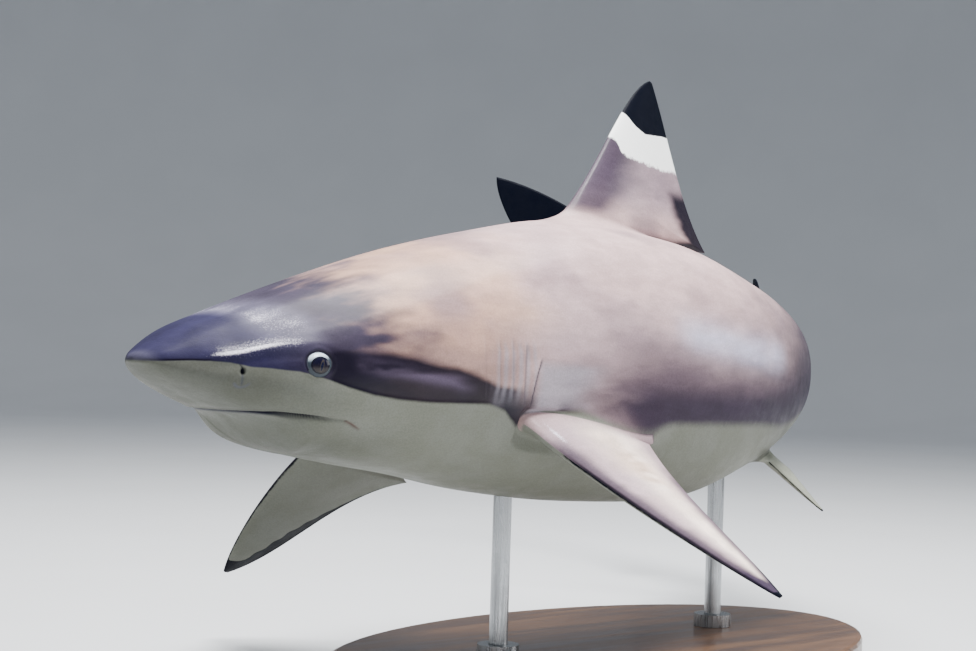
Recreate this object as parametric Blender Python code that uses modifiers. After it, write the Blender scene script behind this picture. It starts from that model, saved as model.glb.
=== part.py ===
"""A blacktip reef shark, life size, turning to its right as it swims, on a flat display stand.

Metres, +Z up.  The snout points along -X and the left side faces -Y.  Body measures are shares of
the total length.  A place on the body is (station, left, up): how far behind the snout along the
backbone, and how far left of and above it.
"""

import math

import bmesh
import bpy
import numpy as np
from mathutils import Matrix, Vector

LENGTH = 1.45  # of the whole animal
SNOUT = 0.006  # station of the snout's tip
BACKBONE_HEIGHT = 0.27  # above the floor, at the shoulders
GAP = 0.0003  # between neighbouring pieces
SKIN_GAP = 0.0006  # a fin's or rod's gap to the faceted body

# Heading of the backbone from -X, in degrees, positive where the tail swings to the right side.
BEND = ((0.0, 8.0), (0.15, 4.0), (0.3, -1.0), (0.4, 7.0), (0.5, 21.0),
        (0.6, 39.0), (0.7, 64.0), (0.8, 95.0), (1.0, 139.0))

# station, back above the axis, belly below it, half width
BODY = (
    (SNOUT, 0.0, 0.0, 0.0),
    (0.0066, 0.0018, 0.0014, 0.0048),
    (0.0090, 0.0040, 0.0031, 0.0104),
    (0.018, 0.0094, 0.0091, 0.0217),
    (0.035, 0.0180, 0.0174, 0.0353),  # nostrils
    (0.060, 0.0267, 0.0275, 0.0476),  # front of the mouth
    (0.0685, 0.0298, 0.0325, 0.0509),
    (0.090, 0.0372, 0.0447, 0.0580),  # eyes
    (0.130, 0.0504, 0.0534, 0.0673),
    (0.180, 0.0657, 0.0614, 0.0745),  # gills
    (0.230, 0.0775, 0.0716, 0.0750),
    (0.300, 0.0888, 0.0795, 0.0745),  # first dorsal fin begins
    (0.380, 0.0830, 0.0822, 0.0696),
    (0.460, 0.0656, 0.0674, 0.0566),  # pelvic fins
    (0.540, 0.0494, 0.0492, 0.0424),
    (0.620, 0.0366, 0.0350, 0.0316),  # second dorsal and anal fins
    (0.680, 0.0266, 0.0240, 0.0228),
    (0.745, 0.0184, 0.0175, 0.0169),  # pit before the tail fin
)
STALK_END = 0.745

# Named lengths of the body, from station to station.
LENGTHS = (
    ("head", SNOUT, 0.150),
    ("gill_region", 0.150, 0.232),
    ("trunk_front", 0.232, 0.345),
    ("trunk_rear", 0.345, 0.470),
    ("tail_front", 0.470, 0.610),
    ("tail_stalk", 0.610, STALK_END),
)
AROUND = 36  # corners of a body ring
RING_STEP = 0.020
SNOUT_RINGS = (0.0063, 0.0069, 0.0082, 0.0108, 0.015, 0.021, 0.030, 0.041, 0.053, 0.066)

# An eyeball is a flattened ball, sunk so that a disc of it shows.
EYE_STATION = 0.0783
EYE_UP = 0.0016
EYE_RADIUS = 0.0082
EYE_HALF_DEPTH = 0.0055
EYE_SUNK = 0.0031

# The lower jaw is what lies under the mouth's flat between these stations.
JAW_FRONT = 0.052
JAW_HINGE = 0.108
MOUTH_LEVEL = 0.0262
JAW_SLOPE = 2.0  # degrees that the mouth falls towards its corners

# Fin outlines: the leading margin is a cubic curve from the origin to the tip, and the rear margin
# runs from the end of the base along the inner margin to the rear tip, and by another cubic curve
# up to the tip.  Points are (back, out) from the fin's origin.  "root" is how deep in the body the
# two ends of the base start, before the fin is cut to the body.
FIRST_DORSAL = {
    "station": 0.300, "base": 0.104, "tip": (0.098, 0.108), "blunt": 0.003,
    "leading": ((0.034, 0.030), (0.068, 0.096)),
    "rear_tip": (0.148, -0.001),
    "rear": ((0.121, 0.025), (0.113, 0.080)),
    "half_thickness": 0.0085, "root": (0.022, 0.022), "lean": 8.0,
}
SECOND_DORSAL = {
    "station": 0.618, "base": 0.046, "tip": (0.046, 0.042), "blunt": 0.004,
    "leading": ((0.014, 0.011), (0.028, 0.038)),
    "rear_tip": (0.083, 0.006),
    "rear": ((0.058, 0.012), (0.050, 0.022)),
    "half_thickness": 0.0034, "root": (0.012, 0.018), "lean": 0.0,
}
ANAL = {
    "station": 0.615, "base": 0.048, "tip": (0.054, 0.044), "blunt": 0.004,
    "leading": ((0.018, 0.012), (0.036, 0.040)),
    "rear_tip": (0.082, 0.006),
    "rear": ((0.058, 0.010), (0.052, 0.026)),
    "half_thickness": 0.0034, "root": (0.012, 0.018), "lean": 0.0,
}
PECTORAL = {
    "station": 0.216, "base": 0.046, "tip": (0.0890, 0.1430), "blunt": 0.004,
    "leading": ((0.008, 0.044), (0.063, 0.117)),
    "rear_tip": (0.098, 0.013),
    "rear": ((0.079, 0.055), (0.096, 0.104)),
    "half_thickness": 0.0075, "root": (0.022, 0.022),
    "seat": (0.87, 0.39),  # shares of the half width and of the belly's depth
}
PELVIC = {
    "station": 0.478, "base": 0.042, "tip": (0.038, 0.053), "blunt": 0.005,
    "leading": ((0.010, 0.016), (0.027, 0.045)),
    "rear_tip": (0.070, 0.012),
    "rear": ((0.058, 0.026), (0.047, 0.042)),
    "half_thickness": 0.0042, "root": (0.012, 0.026),
    "seat": (0.50, 0.80),
}
# swung forward, the right fin's rear root is deeper, and its margins fuller near the tip
PECTORAL_FORWARD = {
    **PECTORAL, "leading": ((-0.010, 0.040), (0.053, 0.118)), "root": (0.018, 0.052),
    "rear": ((0.074, 0.054), (0.111, 0.104)),
}
# droop, swing back and twist in degrees, and how far the tip is bent down
PECTORAL_LEFT = (36.0, 1.5, 4.6, 0.015)
PECTORAL_RIGHT = (39.5, -37.0, 6.0, 0.052)
PELVIC_LEFT = (42.0, 0.0, 12.0, 0.0)
PELVIC_RIGHT = (42.0, 0.0, 12.0, 0.0)
FIN_RINGS = 10
CHORD_POINTS = 8
FIN_EDGE = 0.0003  # half thickness of a rear margin, of the length

# The tail fin, as (behind the pit, above the axis).
TAIL_TIP = (0.2200, 0.1600)
TAIL_UPPER_EDGE = ((0.055, 0.070), (0.145, 0.146))
TAIL_LOWER_TIP = (0.076, -0.100)
TAIL_LOWER_EDGE = ((0.020, -0.030), (0.058, -0.088))
TAIL_TERMINAL = ((0.2220, 0.1430), (0.2070, 0.1180))  # end of the upper lobe, down to its corner
TAIL_NOTCH = (0.1900, 0.1170)
TAIL_FORK = (0.0900, 0.0280)
TAIL_UPPER_REAR = ((0.165, 0.098), (0.112, 0.058))
TAIL_LOWER_REAR = ((0.076, 0.008), (0.078, -0.050))
TAIL_RINGS = 12

ROD_STATIONS = (("front", 0.265), ("rear", 0.475))
ROD_RADIUS = 0.008
ROD_INTO_BODY = 0.05
COLLAR_RADIUS = 0.018
COLLAR_HEIGHT = 0.012
BASE_SIZE = (0.62, 0.36, 0.022)
BASE_BEVEL = 0.004
BASE_CORNERS = 60

COLOURS = {
    "skin": ((0.36, 0.31, 0.31), 0.45, 0.0),
    "belly": ((0.62, 0.61, 0.55), 0.5, 0.0),
    "fin": ((0.42, 0.36, 0.35), 0.45, 0.0),
    "eye": ((0.10, 0.09, 0.09), 0.08, 0.0),
    "steel": ((0.62, 0.62, 0.62), 0.3, 1.0),
    "wood": ((0.09, 0.05, 0.03), 0.4, 0.0),
}


# ---- curves and the bent backbone

def smooth_rows(rows):
    """A smooth function through rows of (x, value, ...) that doesn't overshoot them."""
    table = np.array(rows, float)
    x, y = table[:, 0], table[:, 1:]
    step = np.diff(x)[:, None]
    slope = np.diff(y, axis=0) / step
    tangent = np.zeros_like(y)
    same_way = slope[:-1] * slope[1:] > 0
    first = 2 * step[1:] + step[:-1]
    second = step[1:] + 2 * step[:-1]
    with np.errstate(divide="ignore", invalid="ignore"):
        mean = (first + second) / (first / slope[:-1] + second / slope[1:])
    tangent[1:-1] = np.where(same_way, mean, 0.0)
    tangent[0], tangent[-1] = slope[0], slope[-1]

    def value(at):
        at = np.atleast_1d(np.asarray(at, float))
        i = np.clip(np.searchsorted(x, at, side="right") - 1, 0, len(x) - 2)
        h = step[i]
        t = (at[:, None] - x[i][:, None]) / h
        return ((1 + 2 * t) * (1 - t) ** 2 * y[i] + t * (1 - t) ** 2 * h * tangent[i]
                + t * t * (3 - 2 * t) * y[i + 1] + t * t * (t - 1) * h * tangent[i + 1])

    return value


def cubic(start, first, second, end, at):
    at = np.asarray(at, float)[:, None]
    points = [np.array(p, float) for p in (start, first, second, end)]
    return ((1 - at) ** 3 * points[0] + 3 * at * (1 - at) ** 2 * points[1]
            + 3 * at * at * (1 - at) * points[2] + at ** 3 * points[3])


body_sizes = smooth_rows(BODY)
heading = smooth_rows(BEND)
SPINE_STATIONS = np.linspace(0.0, 1.0, 401)


def backbone():
    """Places and headings of the backbone at SPINE_STATIONS, the shoulders over the origin."""
    angle = np.radians(heading(SPINE_STATIONS)[:, 0])
    back = np.stack([np.cos(angle), np.sin(angle), np.zeros_like(angle)], 1)
    step = (back[1:] + back[:-1]) / 2 * np.diff(SPINE_STATIONS)[:, None]
    place = np.vstack([np.zeros(3), np.cumsum(step, 0)])
    shoulders = np.searchsorted(SPINE_STATIONS, 0.25)
    return (place - place[shoulders]) * LENGTH + (0, 0, BACKBONE_HEIGHT), angle


SPINE_PLACES, SPINE_ANGLES = backbone()


def on_body(station, left, up):
    """World places of (station, left, up), all shares of the length."""
    station = np.asarray(station, float)
    place = np.stack([np.interp(station, SPINE_STATIONS, SPINE_PLACES[:, k]) for k in range(3)], -1)
    angle = np.interp(station, SPINE_STATIONS, SPINE_ANGLES)
    left_way = np.stack([np.sin(angle), -np.cos(angle), np.zeros_like(angle)], -1)
    left, up = np.asarray(left, float), np.asarray(up, float)
    return place + LENGTH * (left[..., None] * left_way + up[..., None] * np.array((0, 0, 1.0)))


def ways_at(station):
    """Unit vectors (back, left, up) of the body at a station."""
    angle = float(np.interp(station, SPINE_STATIONS, SPINE_ANGLES))
    back = np.array((math.cos(angle), math.sin(angle), 0.0))
    left = np.array((math.sin(angle), -math.cos(angle), 0.0))
    return back, left, np.array((0.0, 0.0, 1.0))


def section(station, angle, grow=0.0):
    """(left, up) of the body's skin, at an angle from the left side round over the back."""
    back, belly, half = body_sizes(station)[0] + grow
    widest = -0.25 * belly * max(0.0, 1 - station / 0.12)  # the snout is widest low down
    lower = 2.25 + 0.5 * max(0.0, 1 - station / 0.1)  # and flat beneath
    cos, sin = np.cos(angle), np.sin(angle)
    power = np.where(sin > 0, 2 / 2.2, 2 / lower)
    left = half * np.sign(cos) * np.abs(cos) ** power
    height = np.where(sin > 0, back - widest, belly + widest)
    return left, widest + height * np.sign(sin) * np.abs(sin) ** power


def skin_point(station, angle):
    left, up = section(station, np.array([angle]))
    return on_body(np.array([station]), left, up)[0]


def skin_normal(station, angle):
    step = 0.002
    along = skin_point(station + step, angle) - skin_point(station - step, angle)
    round_it = skin_point(station, angle + 0.04) - skin_point(station, angle - 0.04)
    normal = Vector(np.cross(round_it, along)).normalized()
    return -normal if normal.dot(Vector(ways_at(station)[1] * math.cos(angle))) < 0 else normal


# ---- meshes

def material(name):
    found = bpy.data.materials.get(name)
    if found:
        return found
    colour, roughness, metallic = COLOURS[name]
    made = bpy.data.materials.new(name)
    made.use_nodes = True
    shader = made.node_tree.nodes["Principled BSDF"]
    shader.inputs["Base Color"].default_value = (*colour, 1)
    shader.inputs["Roughness"].default_value = roughness
    shader.inputs["Metallic"].default_value = metallic
    return made


def collection(name):
    made = bpy.data.collections.new(name)
    bpy.context.scene.collection.children.link(made)
    return made


def link(obj, group, finish):
    for other in list(obj.users_collection):
        other.objects.unlink(obj)
    group.objects.link(obj)
    obj.data.materials.clear()
    obj.data.materials.append(material(finish))
    return obj


def object_from(name, points, faces, group, finish):
    mesh = bpy.data.meshes.new(name)
    mesh.from_pydata([tuple(p) for p in points], [], faces)
    work = bmesh.new()
    work.from_mesh(mesh)
    bmesh.ops.recalc_face_normals(work, faces=work.faces)
    work.to_mesh(mesh)
    work.free()
    mesh.shade_smooth()
    mesh.set_sharp_from_angle(angle=math.radians(50))
    return link(bpy.data.objects.new(name, mesh), group, finish)


def ring_faces(rings, around):
    """Quads between rings of the same number of points, each ring closed."""
    faces = []
    for i in range(rings - 1):
        for j in range(around):
            k = (j + 1) % around
            faces.append((i * around + j, i * around + k, (i + 1) * around + k, (i + 1) * around + j))
    return faces


def loft(name, rings, group, finish, tip=None):
    """A closed body through rings of world points, with flat ends or a point before the first."""
    around = len(rings[0])
    points = np.concatenate(rings)
    faces = ring_faces(len(rings), around)
    last = (len(rings) - 1) * around
    faces.append(tuple(range(last, last + around)))
    if tip is None:
        faces.append(tuple(range(around)))
    else:
        points = np.vstack([points, tip])
        faces += [(j, (j + 1) % around, len(points) - 1) for j in range(around)]
    return object_from(name, points, faces, group, finish)


def body_ring(station, grow=0.0):
    angle = np.linspace(0, 2 * math.pi, AROUND, endpoint=False)
    left, up = section(station, angle, grow)
    return on_body(np.full(AROUND, station), left, up)


def stations_of(start, end):
    """Where a length of the body has rings, half a gap in from its two ends."""
    half_gap = GAP / LENGTH / 2
    first = start + half_gap if start > SNOUT else SNOUT_RINGS[-1] + RING_STEP
    count = math.ceil((end - first) / RING_STEP) + 1
    behind = list(np.linspace(first, end - half_gap, count))
    return behind if start > SNOUT else [*SNOUT_RINGS, *behind]


def body_length(name, start, end, group):
    """A length of the body. One that starts at the snout comes to its tip."""
    tip = None if start > SNOUT else on_body(np.array([start]), [0.0], [0.0])
    return loft(name, [body_ring(s) for s in stations_of(start, end)], group, "skin", tip)


def body_clearance(group):
    """The whole body, grown by a fin's gap, with its rings where the lengths have theirs."""
    grow = SKIN_GAP / LENGTH
    stations = [s for _, start, end in LENGTHS for s in stations_of(start, end)]
    rings = [body_ring(s, grow) for s in [*stations, STALK_END + grow]]
    tip = on_body(np.array([SNOUT - grow]), [0.0], [0.0])
    return hide(loft("body_clearance", rings, group, "skin", tip))


def cut(obj, cutter, operation="DIFFERENCE"):
    modifier = obj.modifiers.new("cut_" + cutter.name, "BOOLEAN")
    modifier.object = cutter
    modifier.operation = operation


def hide(obj):
    obj.hide_render = True
    obj.display_type = "WIRE"
    return obj


# ---- fins

def foil(share):
    """Thickness along a chord from the leading edge, 1 at its thickest (a NACA four-digit form)."""
    x = np.asarray(share, float)
    return 10 * (0.2969 * np.sqrt(x) - 0.126 * x - 0.3516 * x ** 2 + 0.2843 * x ** 3 - 0.1036 * x ** 4)


def margins(fin, span):
    """Leading and rear margin points at each share of the span, 0 at the base and 1 at the tip."""
    tip = np.array(fin["tip"])
    leading = cubic((0, 0), *fin["leading"], tip, span)
    end_of_base, rear_tip = np.array((fin["base"], 0.0)), np.array(fin["rear_tip"])
    inner_share = 0.2  # of the rings, along the inner margin
    bulge = (rear_tip - end_of_base) * 0.5 + (0.0, 0.25 * rear_tip[1])
    inner = cubic(end_of_base, end_of_base + bulge * 0.6, end_of_base + bulge * 1.4, rear_tip,
                  np.clip(span / inner_share, 0, 1))
    outer = cubic(rear_tip, *fin["rear"], tip + (fin["blunt"], -fin["blunt"] * 0.3),
                  np.clip((span - inner_share) / (1 - inner_share), 0, 1))
    return leading, np.where((span < inner_share)[:, None], inner, outer)


def fin_points(fin):
    """(back, out, thickness) of each ring of a fin, from inside the body out to the tip.

    A ring starts at its leading edge, runs back along one side and returns along the other.
    """
    span = np.unique(np.concatenate([np.linspace(0, 0.2, 3), np.linspace(0.2, 1, FIN_RINGS - 2)]))
    leading, rear = margins(fin, span)
    leading = np.vstack([leading[0] - (0, fin["root"][0]), leading])
    rear = np.vstack([rear[0] - (0, fin["root"][1]), rear])
    span = np.concatenate([[0.0], span])
    chord = (1 - np.cos(np.linspace(0, math.pi, CHORD_POINTS))) / 2
    rings = []
    for near, far, out in zip(leading, rear, span):
        places = near + (far - near) * chord[:, None]
        thick = fin["half_thickness"] * (1 - out) ** 0.8 + 2 * FIN_EDGE
        half = np.maximum(thick * foil(chord), FIN_EDGE)
        half[0] = 0.0
        there = np.column_stack([places, half])
        back_again = np.column_stack([places, -half])[:0:-1]
        rings.append(np.vstack([there, back_again]))
    return rings


def fin_object(name, rings, place, group, finish="fin"):
    """Closes a fin whose rings are placed in the world by place(back, out, thickness)."""
    placed = [place(*ring.T) for ring in rings]
    around = len(placed[0])
    faces = ring_faces(len(placed), around)
    for first in (0, (len(placed) - 1) * around):  # the two ends, as strips across the thickness
        near = [first] + [first + j for j in range(1, CHORD_POINTS)]
        far = [first] + [first + around - j for j in range(1, CHORD_POINTS)]
        faces.append((near[0], near[1], far[1]))
        faces += [(near[j], near[j + 1], far[j + 1], far[j]) for j in range(1, CHORD_POINTS - 1)]
    return object_from(name, np.concatenate(placed), faces, group, finish)


def upright_fin(name, fin, side, group):
    """A fin in the body's middle plane, which bends with the backbone. side is 1 on the back."""
    start, end = fin["station"], fin["station"] + fin["base"]
    level = body_sizes(start)[0][0 if side > 0 else 1], body_sizes(end)[0][0 if side > 0 else 1]
    lean = math.radians(fin["lean"])

    def place(back, out, half):
        base = np.interp(back, (0, fin["base"]), level)
        left = half * math.cos(lean) - out * math.sin(lean)
        up = base + out * math.cos(lean) + half * math.sin(lean)
        return on_body(start + back, left, side * up)

    return fin_object(name, fin_points(fin), place, group)


def paired_fin(name, fin, side, angles, group):
    """A stiff fin at the body's side. side is 1 on the left."""
    droop, swing, twist = (math.radians(a) for a in angles[:3])
    _, belly, half_width = body_sizes(fin["station"])[0]
    across, down = fin["seat"]
    seat = on_body(np.array([fin["station"]]), [side * half_width * across], [-belly * down])[0]
    back, left, up = ways_at(fin["station"])
    out = side * left * math.cos(droop) - up * math.sin(droop)
    normal = up * math.cos(droop) + side * left * math.sin(droop)
    chord = back * math.cos(twist) - normal * math.sin(twist)
    normal = normal * math.cos(twist) + back * math.sin(twist)
    swung = chord * math.cos(swing) - out * math.sin(swing)
    out = out * math.cos(swing) + chord * math.sin(swing)
    span = fin["tip"][1]

    def place(along, outwards, half):
        bent = -angles[3] * np.maximum(outwards, 0) ** 2 / span
        parts = along[:, None] * swung + outwards[:, None] * out + (half + bent)[:, None] * normal
        return seat + LENGTH * parts

    return fin_object(name, fin_points(fin), place, group)


def tail_rear_margin(share):
    """The tail fin's rear margin: -1 at the lower tip, 0 in the fork and 1 at the upper tip."""
    share = np.asarray(share, float)
    lower = cubic(TAIL_FORK, *TAIL_LOWER_REAR, TAIL_LOWER_TIP, np.clip(-share, 0, 1))
    notch_at, corner_at = 0.62, 0.74
    upper = cubic(TAIL_FORK, *TAIL_UPPER_REAR[::-1], TAIL_NOTCH, np.clip(share / notch_at, 0, 1))
    step = np.clip((share - notch_at) / (corner_at - notch_at), 0, 1)[:, None]
    corner = np.array(TAIL_NOTCH) * (1 - step) + np.array(TAIL_TERMINAL[1]) * step
    end = cubic(TAIL_TERMINAL[1], TAIL_TERMINAL[1], TAIL_TERMINAL[0], TAIL_TIP,
                np.clip((share - corner_at) / (1 - corner_at), 0, 1))
    share = share[:, None]
    return np.where(share < 0, lower, np.where(share < notch_at, upper,
                                               np.where(share < corner_at, corner, end)))


def tail_grid(shares, rings):
    """(behind the pit, up, half thickness) over the tail fin, for rows at shares of the rear margin."""
    back, belly, half_width = body_sizes(STALK_END)[0]
    turn = shares * math.pi / 2
    power = 2 / 2.2
    base_up = np.where(shares > 0, back, belly) * np.sign(shares) * np.abs(np.sin(turn)) ** power
    start = np.column_stack([np.zeros_like(shares), base_up])
    end = tail_rear_margin(shares)
    edges = {1: ((0.0, back), *TAIL_UPPER_EDGE, TAIL_TIP),
             -1: ((0.0, -belly), *TAIL_LOWER_EDGE, TAIL_LOWER_TIP)}
    grid = []
    for along in rings:
        places = start * (1 - along) + end * along
        for side, points in edges.items():
            straight = np.array(points[0]) * (1 - along) + np.array(points[-1]) * along
            curve = cubic(*points, np.array([along]))[0]
            weight = np.clip(side * shares, 0, 1) ** 2
            places = places + weight[:, None] * (curve - straight)
        fade = (1 - along) ** np.where(shares > 0, 2.2 - 1.2 * shares, 3.0)
        core = half_width * np.cos(turn) ** power * fade
        blade = 0.0016 * (1 - along) ** 0.5 * np.sqrt(np.clip(1 - shares ** 2, 0, 1)) * min(1, 4 * along)
        half = np.maximum(np.hypot(core, blade), FIN_EDGE)
        grid.append(np.column_stack([places, half]))
    return grid


def tail_lobe(name, lowest, highest, group):
    """One lobe of the tail fin, between two shares of its rear margin."""
    rows = 13
    shares = np.linspace(lowest, highest, rows)
    rings = np.linspace(GAP / LENGTH / TAIL_TIP[0], 1, TAIL_RINGS)
    placed = []
    for ring in tail_grid(shares, rings):
        behind, up, half = ring.T
        station = STALK_END + GAP / LENGTH / 2 + behind
        left_side = on_body(station, half, up)
        right_side = on_body(station, -half, up)
        placed.append(np.vstack([left_side, right_side[::-1]]))
    return loft(name, placed, group, "fin")


# ---- head pieces and the stand

def eye_matrix(side, up_angle):
    """Where an eyeball sits, its short axis out of the skin."""
    angle = up_angle if side > 0 else math.pi - up_angle
    normal = skin_normal(EYE_STATION, angle)
    centre = Vector(skin_point(EYE_STATION, angle)) - normal * EYE_SUNK * LENGTH
    upward = (Vector((0, 0, 1)) - normal * normal.z).normalized()
    across = upward.cross(normal)
    turn = Matrix((across, upward, normal)).transposed().to_4x4()
    return Matrix.Translation(centre) @ turn


def eyeball(name, side, group, grow=0.0):
    back = body_sizes(EYE_STATION)[0][0]
    mesh = bpy.data.meshes.new(name)
    work = bmesh.new()
    bmesh.ops.create_uvsphere(work, u_segments=16, v_segments=9, radius=1.0)
    size = Vector((EYE_RADIUS, EYE_RADIUS, EYE_HALF_DEPTH)) * LENGTH + Vector((grow, grow, grow))
    matrix = eye_matrix(side, math.asin(EYE_UP / back)) @ Matrix.Diagonal((*size, 1))
    bmesh.ops.transform(work, matrix=matrix, verts=work.verts)
    work.to_mesh(mesh)
    work.free()
    mesh.shade_smooth()
    return link(bpy.data.objects.new(name, mesh), group, "eye")


def jaw_block(name, grow, group):
    """A block round the lower jaw, its top face the flat of the mouth."""
    mesh = bpy.data.meshes.new(name)
    work = bmesh.new()
    bmesh.ops.create_cube(work, size=1.0)
    depth, width = 0.06, 0.16
    size = Vector((JAW_HINGE - JAW_FRONT, width, depth)) * LENGTH + Vector((grow, grow, grow)) * 2
    middle = (JAW_FRONT + JAW_HINGE) / 2
    back, left, up = (Vector(v) for v in ways_at(middle))
    slope = Matrix.Rotation(math.radians(JAW_SLOPE), 4, "Y")
    turn = Matrix((back, -left, up)).transposed().to_4x4() @ slope
    centre = on_body(np.array([middle]), [0.0], [-MOUTH_LEVEL - depth / 2])[0]
    matrix = Matrix.Translation(Vector(centre)) @ turn @ Matrix.Diagonal((*size, 1))
    bmesh.ops.transform(work, matrix=matrix, verts=work.verts)
    work.to_mesh(mesh)
    work.free()
    return link(bpy.data.objects.new(name, mesh), group, "belly")


def cylinder(name, radius, bottom, top, place, group, finish, corners=24):
    bpy.ops.mesh.primitive_cylinder_add(
        vertices=corners, radius=radius, depth=top - bottom,
        location=(place[0], place[1], (bottom + top) / 2))
    made = bpy.context.object
    made.name = name
    made.data.shade_smooth()
    made.data.set_sharp_from_angle(angle=math.radians(50))
    return link(made, group, finish)


def make_stand(group, cutters, body):
    top_of_base = BASE_SIZE[2]
    rods = []
    for name, station in ROD_STATIONS:
        belly = body_sizes(station)[0][1] * LENGTH
        place = on_body(np.array([station]), [0.0], [0.0])[0]
        rods.append(place)
        rod_top = BACKBONE_HEIGHT - belly + ROD_INTO_BODY
        rod = cylinder("stand_rod_" + name, ROD_RADIUS, top_of_base + GAP, rod_top, place, group, "steel")
        cut(rod, body)
        collar = cylinder("stand_collar_" + name, COLLAR_RADIUS, top_of_base + GAP,
                          top_of_base + COLLAR_HEIGHT, place, group, "steel")
        bore = cylinder("bore_" + name, ROD_RADIUS + GAP, 0, top_of_base + 2 * COLLAR_HEIGHT, place,
                        cutters, "steel")
        cut(collar, hide(bore))
    middle = (rods[0] + rods[1]) / 2
    base = cylinder("stand_base", 0.5, 0, top_of_base, middle, group, "wood", BASE_CORNERS)
    along = math.atan2(rods[1][1] - rods[0][1], rods[1][0] - rods[0][0])
    shape = Matrix.Rotation(along, 4, "Z") @ Matrix.Diagonal((BASE_SIZE[0], BASE_SIZE[1], 1, 1))
    base.data.transform(shape)
    bevel = base.modifiers.new("bevel", "BEVEL")
    bevel.width = BASE_BEVEL
    bevel.segments = 2
    bevel.limit_method = "ANGLE"
    return base


def centre_on_floor(group):
    """Moves every piece so that the whole stands with its box's middle over the origin."""
    bpy.context.view_layer.update()
    graph = bpy.context.evaluated_depsgraph_get()
    corners = []
    for obj in group.objects:
        evaluated = obj.evaluated_get(graph)
        corners += [evaluated.matrix_world @ Vector(c) for c in evaluated.bound_box]
    box = np.array(corners)
    middle = (box.min(0) + box.max(0)) / 2
    for obj in bpy.data.objects:
        obj.location.x -= middle[0]
        obj.location.y -= middle[1]


def main():
    for obj in list(bpy.data.objects):
        bpy.data.objects.remove(obj)
    shark = collection("blacktip_reef_shark")
    cutters = collection("cutters")

    whole = body_clearance(cutters)
    pieces = {name: body_length(name, start, end, shark) for name, start, end in LENGTHS}

    head = pieces["head"]
    jaw = body_length("lower_jaw", *LENGTHS[0][1:], shark)
    cut(jaw, hide(jaw_block("jaw_inside", 0.0, cutters)), "INTERSECT")
    cut(head, hide(jaw_block("jaw_clearance", GAP, cutters)))
    for name, side in (("left", 1), ("right", -1)):
        eyeball("eye_" + name, side, shark)
        cut(head, hide(eyeball("socket_" + name, side, cutters, GAP)))

    fins = [
        upright_fin("dorsal_fin_first", FIRST_DORSAL, 1, shark),
        upright_fin("dorsal_fin_second", SECOND_DORSAL, 1, shark),
        upright_fin("anal_fin", ANAL, -1, shark),
        paired_fin("pectoral_fin_left", PECTORAL, 1, PECTORAL_LEFT, shark),
        paired_fin("pectoral_fin_right", PECTORAL_FORWARD, -1, PECTORAL_RIGHT, shark),
        paired_fin("pelvic_fin_left", PELVIC, 1, PELVIC_LEFT, shark),
        paired_fin("pelvic_fin_right", PELVIC, -1, PELVIC_RIGHT, shark),
    ]
    for fin in fins:
        cut(fin, whole)
    half_row = 0.004
    tail_lobe("tail_fin_upper", half_row, 1.0, shark)
    tail_lobe("tail_fin_lower", -1.0, -half_row, shark)
    make_stand(shark, cutters, whole)
    centre_on_floor(shark)


main()
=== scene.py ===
import math

import bmesh
import bpy
import numpy as np
from mathutils import Matrix, Vector


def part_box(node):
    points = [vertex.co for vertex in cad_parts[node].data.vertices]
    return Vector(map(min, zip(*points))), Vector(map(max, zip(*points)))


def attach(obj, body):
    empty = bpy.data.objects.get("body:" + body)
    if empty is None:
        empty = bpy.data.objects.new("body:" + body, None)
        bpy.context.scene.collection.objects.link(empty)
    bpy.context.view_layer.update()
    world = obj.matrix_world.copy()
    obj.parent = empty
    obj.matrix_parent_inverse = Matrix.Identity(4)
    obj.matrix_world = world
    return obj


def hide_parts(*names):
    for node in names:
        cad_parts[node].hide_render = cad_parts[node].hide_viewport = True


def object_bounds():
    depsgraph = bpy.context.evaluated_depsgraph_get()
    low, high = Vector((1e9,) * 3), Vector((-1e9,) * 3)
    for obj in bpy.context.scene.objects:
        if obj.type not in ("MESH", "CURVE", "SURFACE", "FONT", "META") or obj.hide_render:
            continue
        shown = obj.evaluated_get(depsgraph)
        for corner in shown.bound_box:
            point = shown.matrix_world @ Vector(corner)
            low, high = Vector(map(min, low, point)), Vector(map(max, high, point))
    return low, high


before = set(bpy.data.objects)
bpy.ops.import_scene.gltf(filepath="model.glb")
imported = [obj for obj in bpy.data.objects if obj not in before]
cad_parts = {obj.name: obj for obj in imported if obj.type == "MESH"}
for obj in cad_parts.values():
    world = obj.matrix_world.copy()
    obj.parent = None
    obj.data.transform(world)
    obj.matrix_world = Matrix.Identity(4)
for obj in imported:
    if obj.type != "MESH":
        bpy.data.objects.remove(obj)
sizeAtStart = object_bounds()

# The skin of a blacktip reef shark over its solid lengths and fins, its eyes, and the stand.
# A place on the body is (station, left, up), in shares of the length: how far behind the snout
# along the backbone, and how far left of it and above it.

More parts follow.
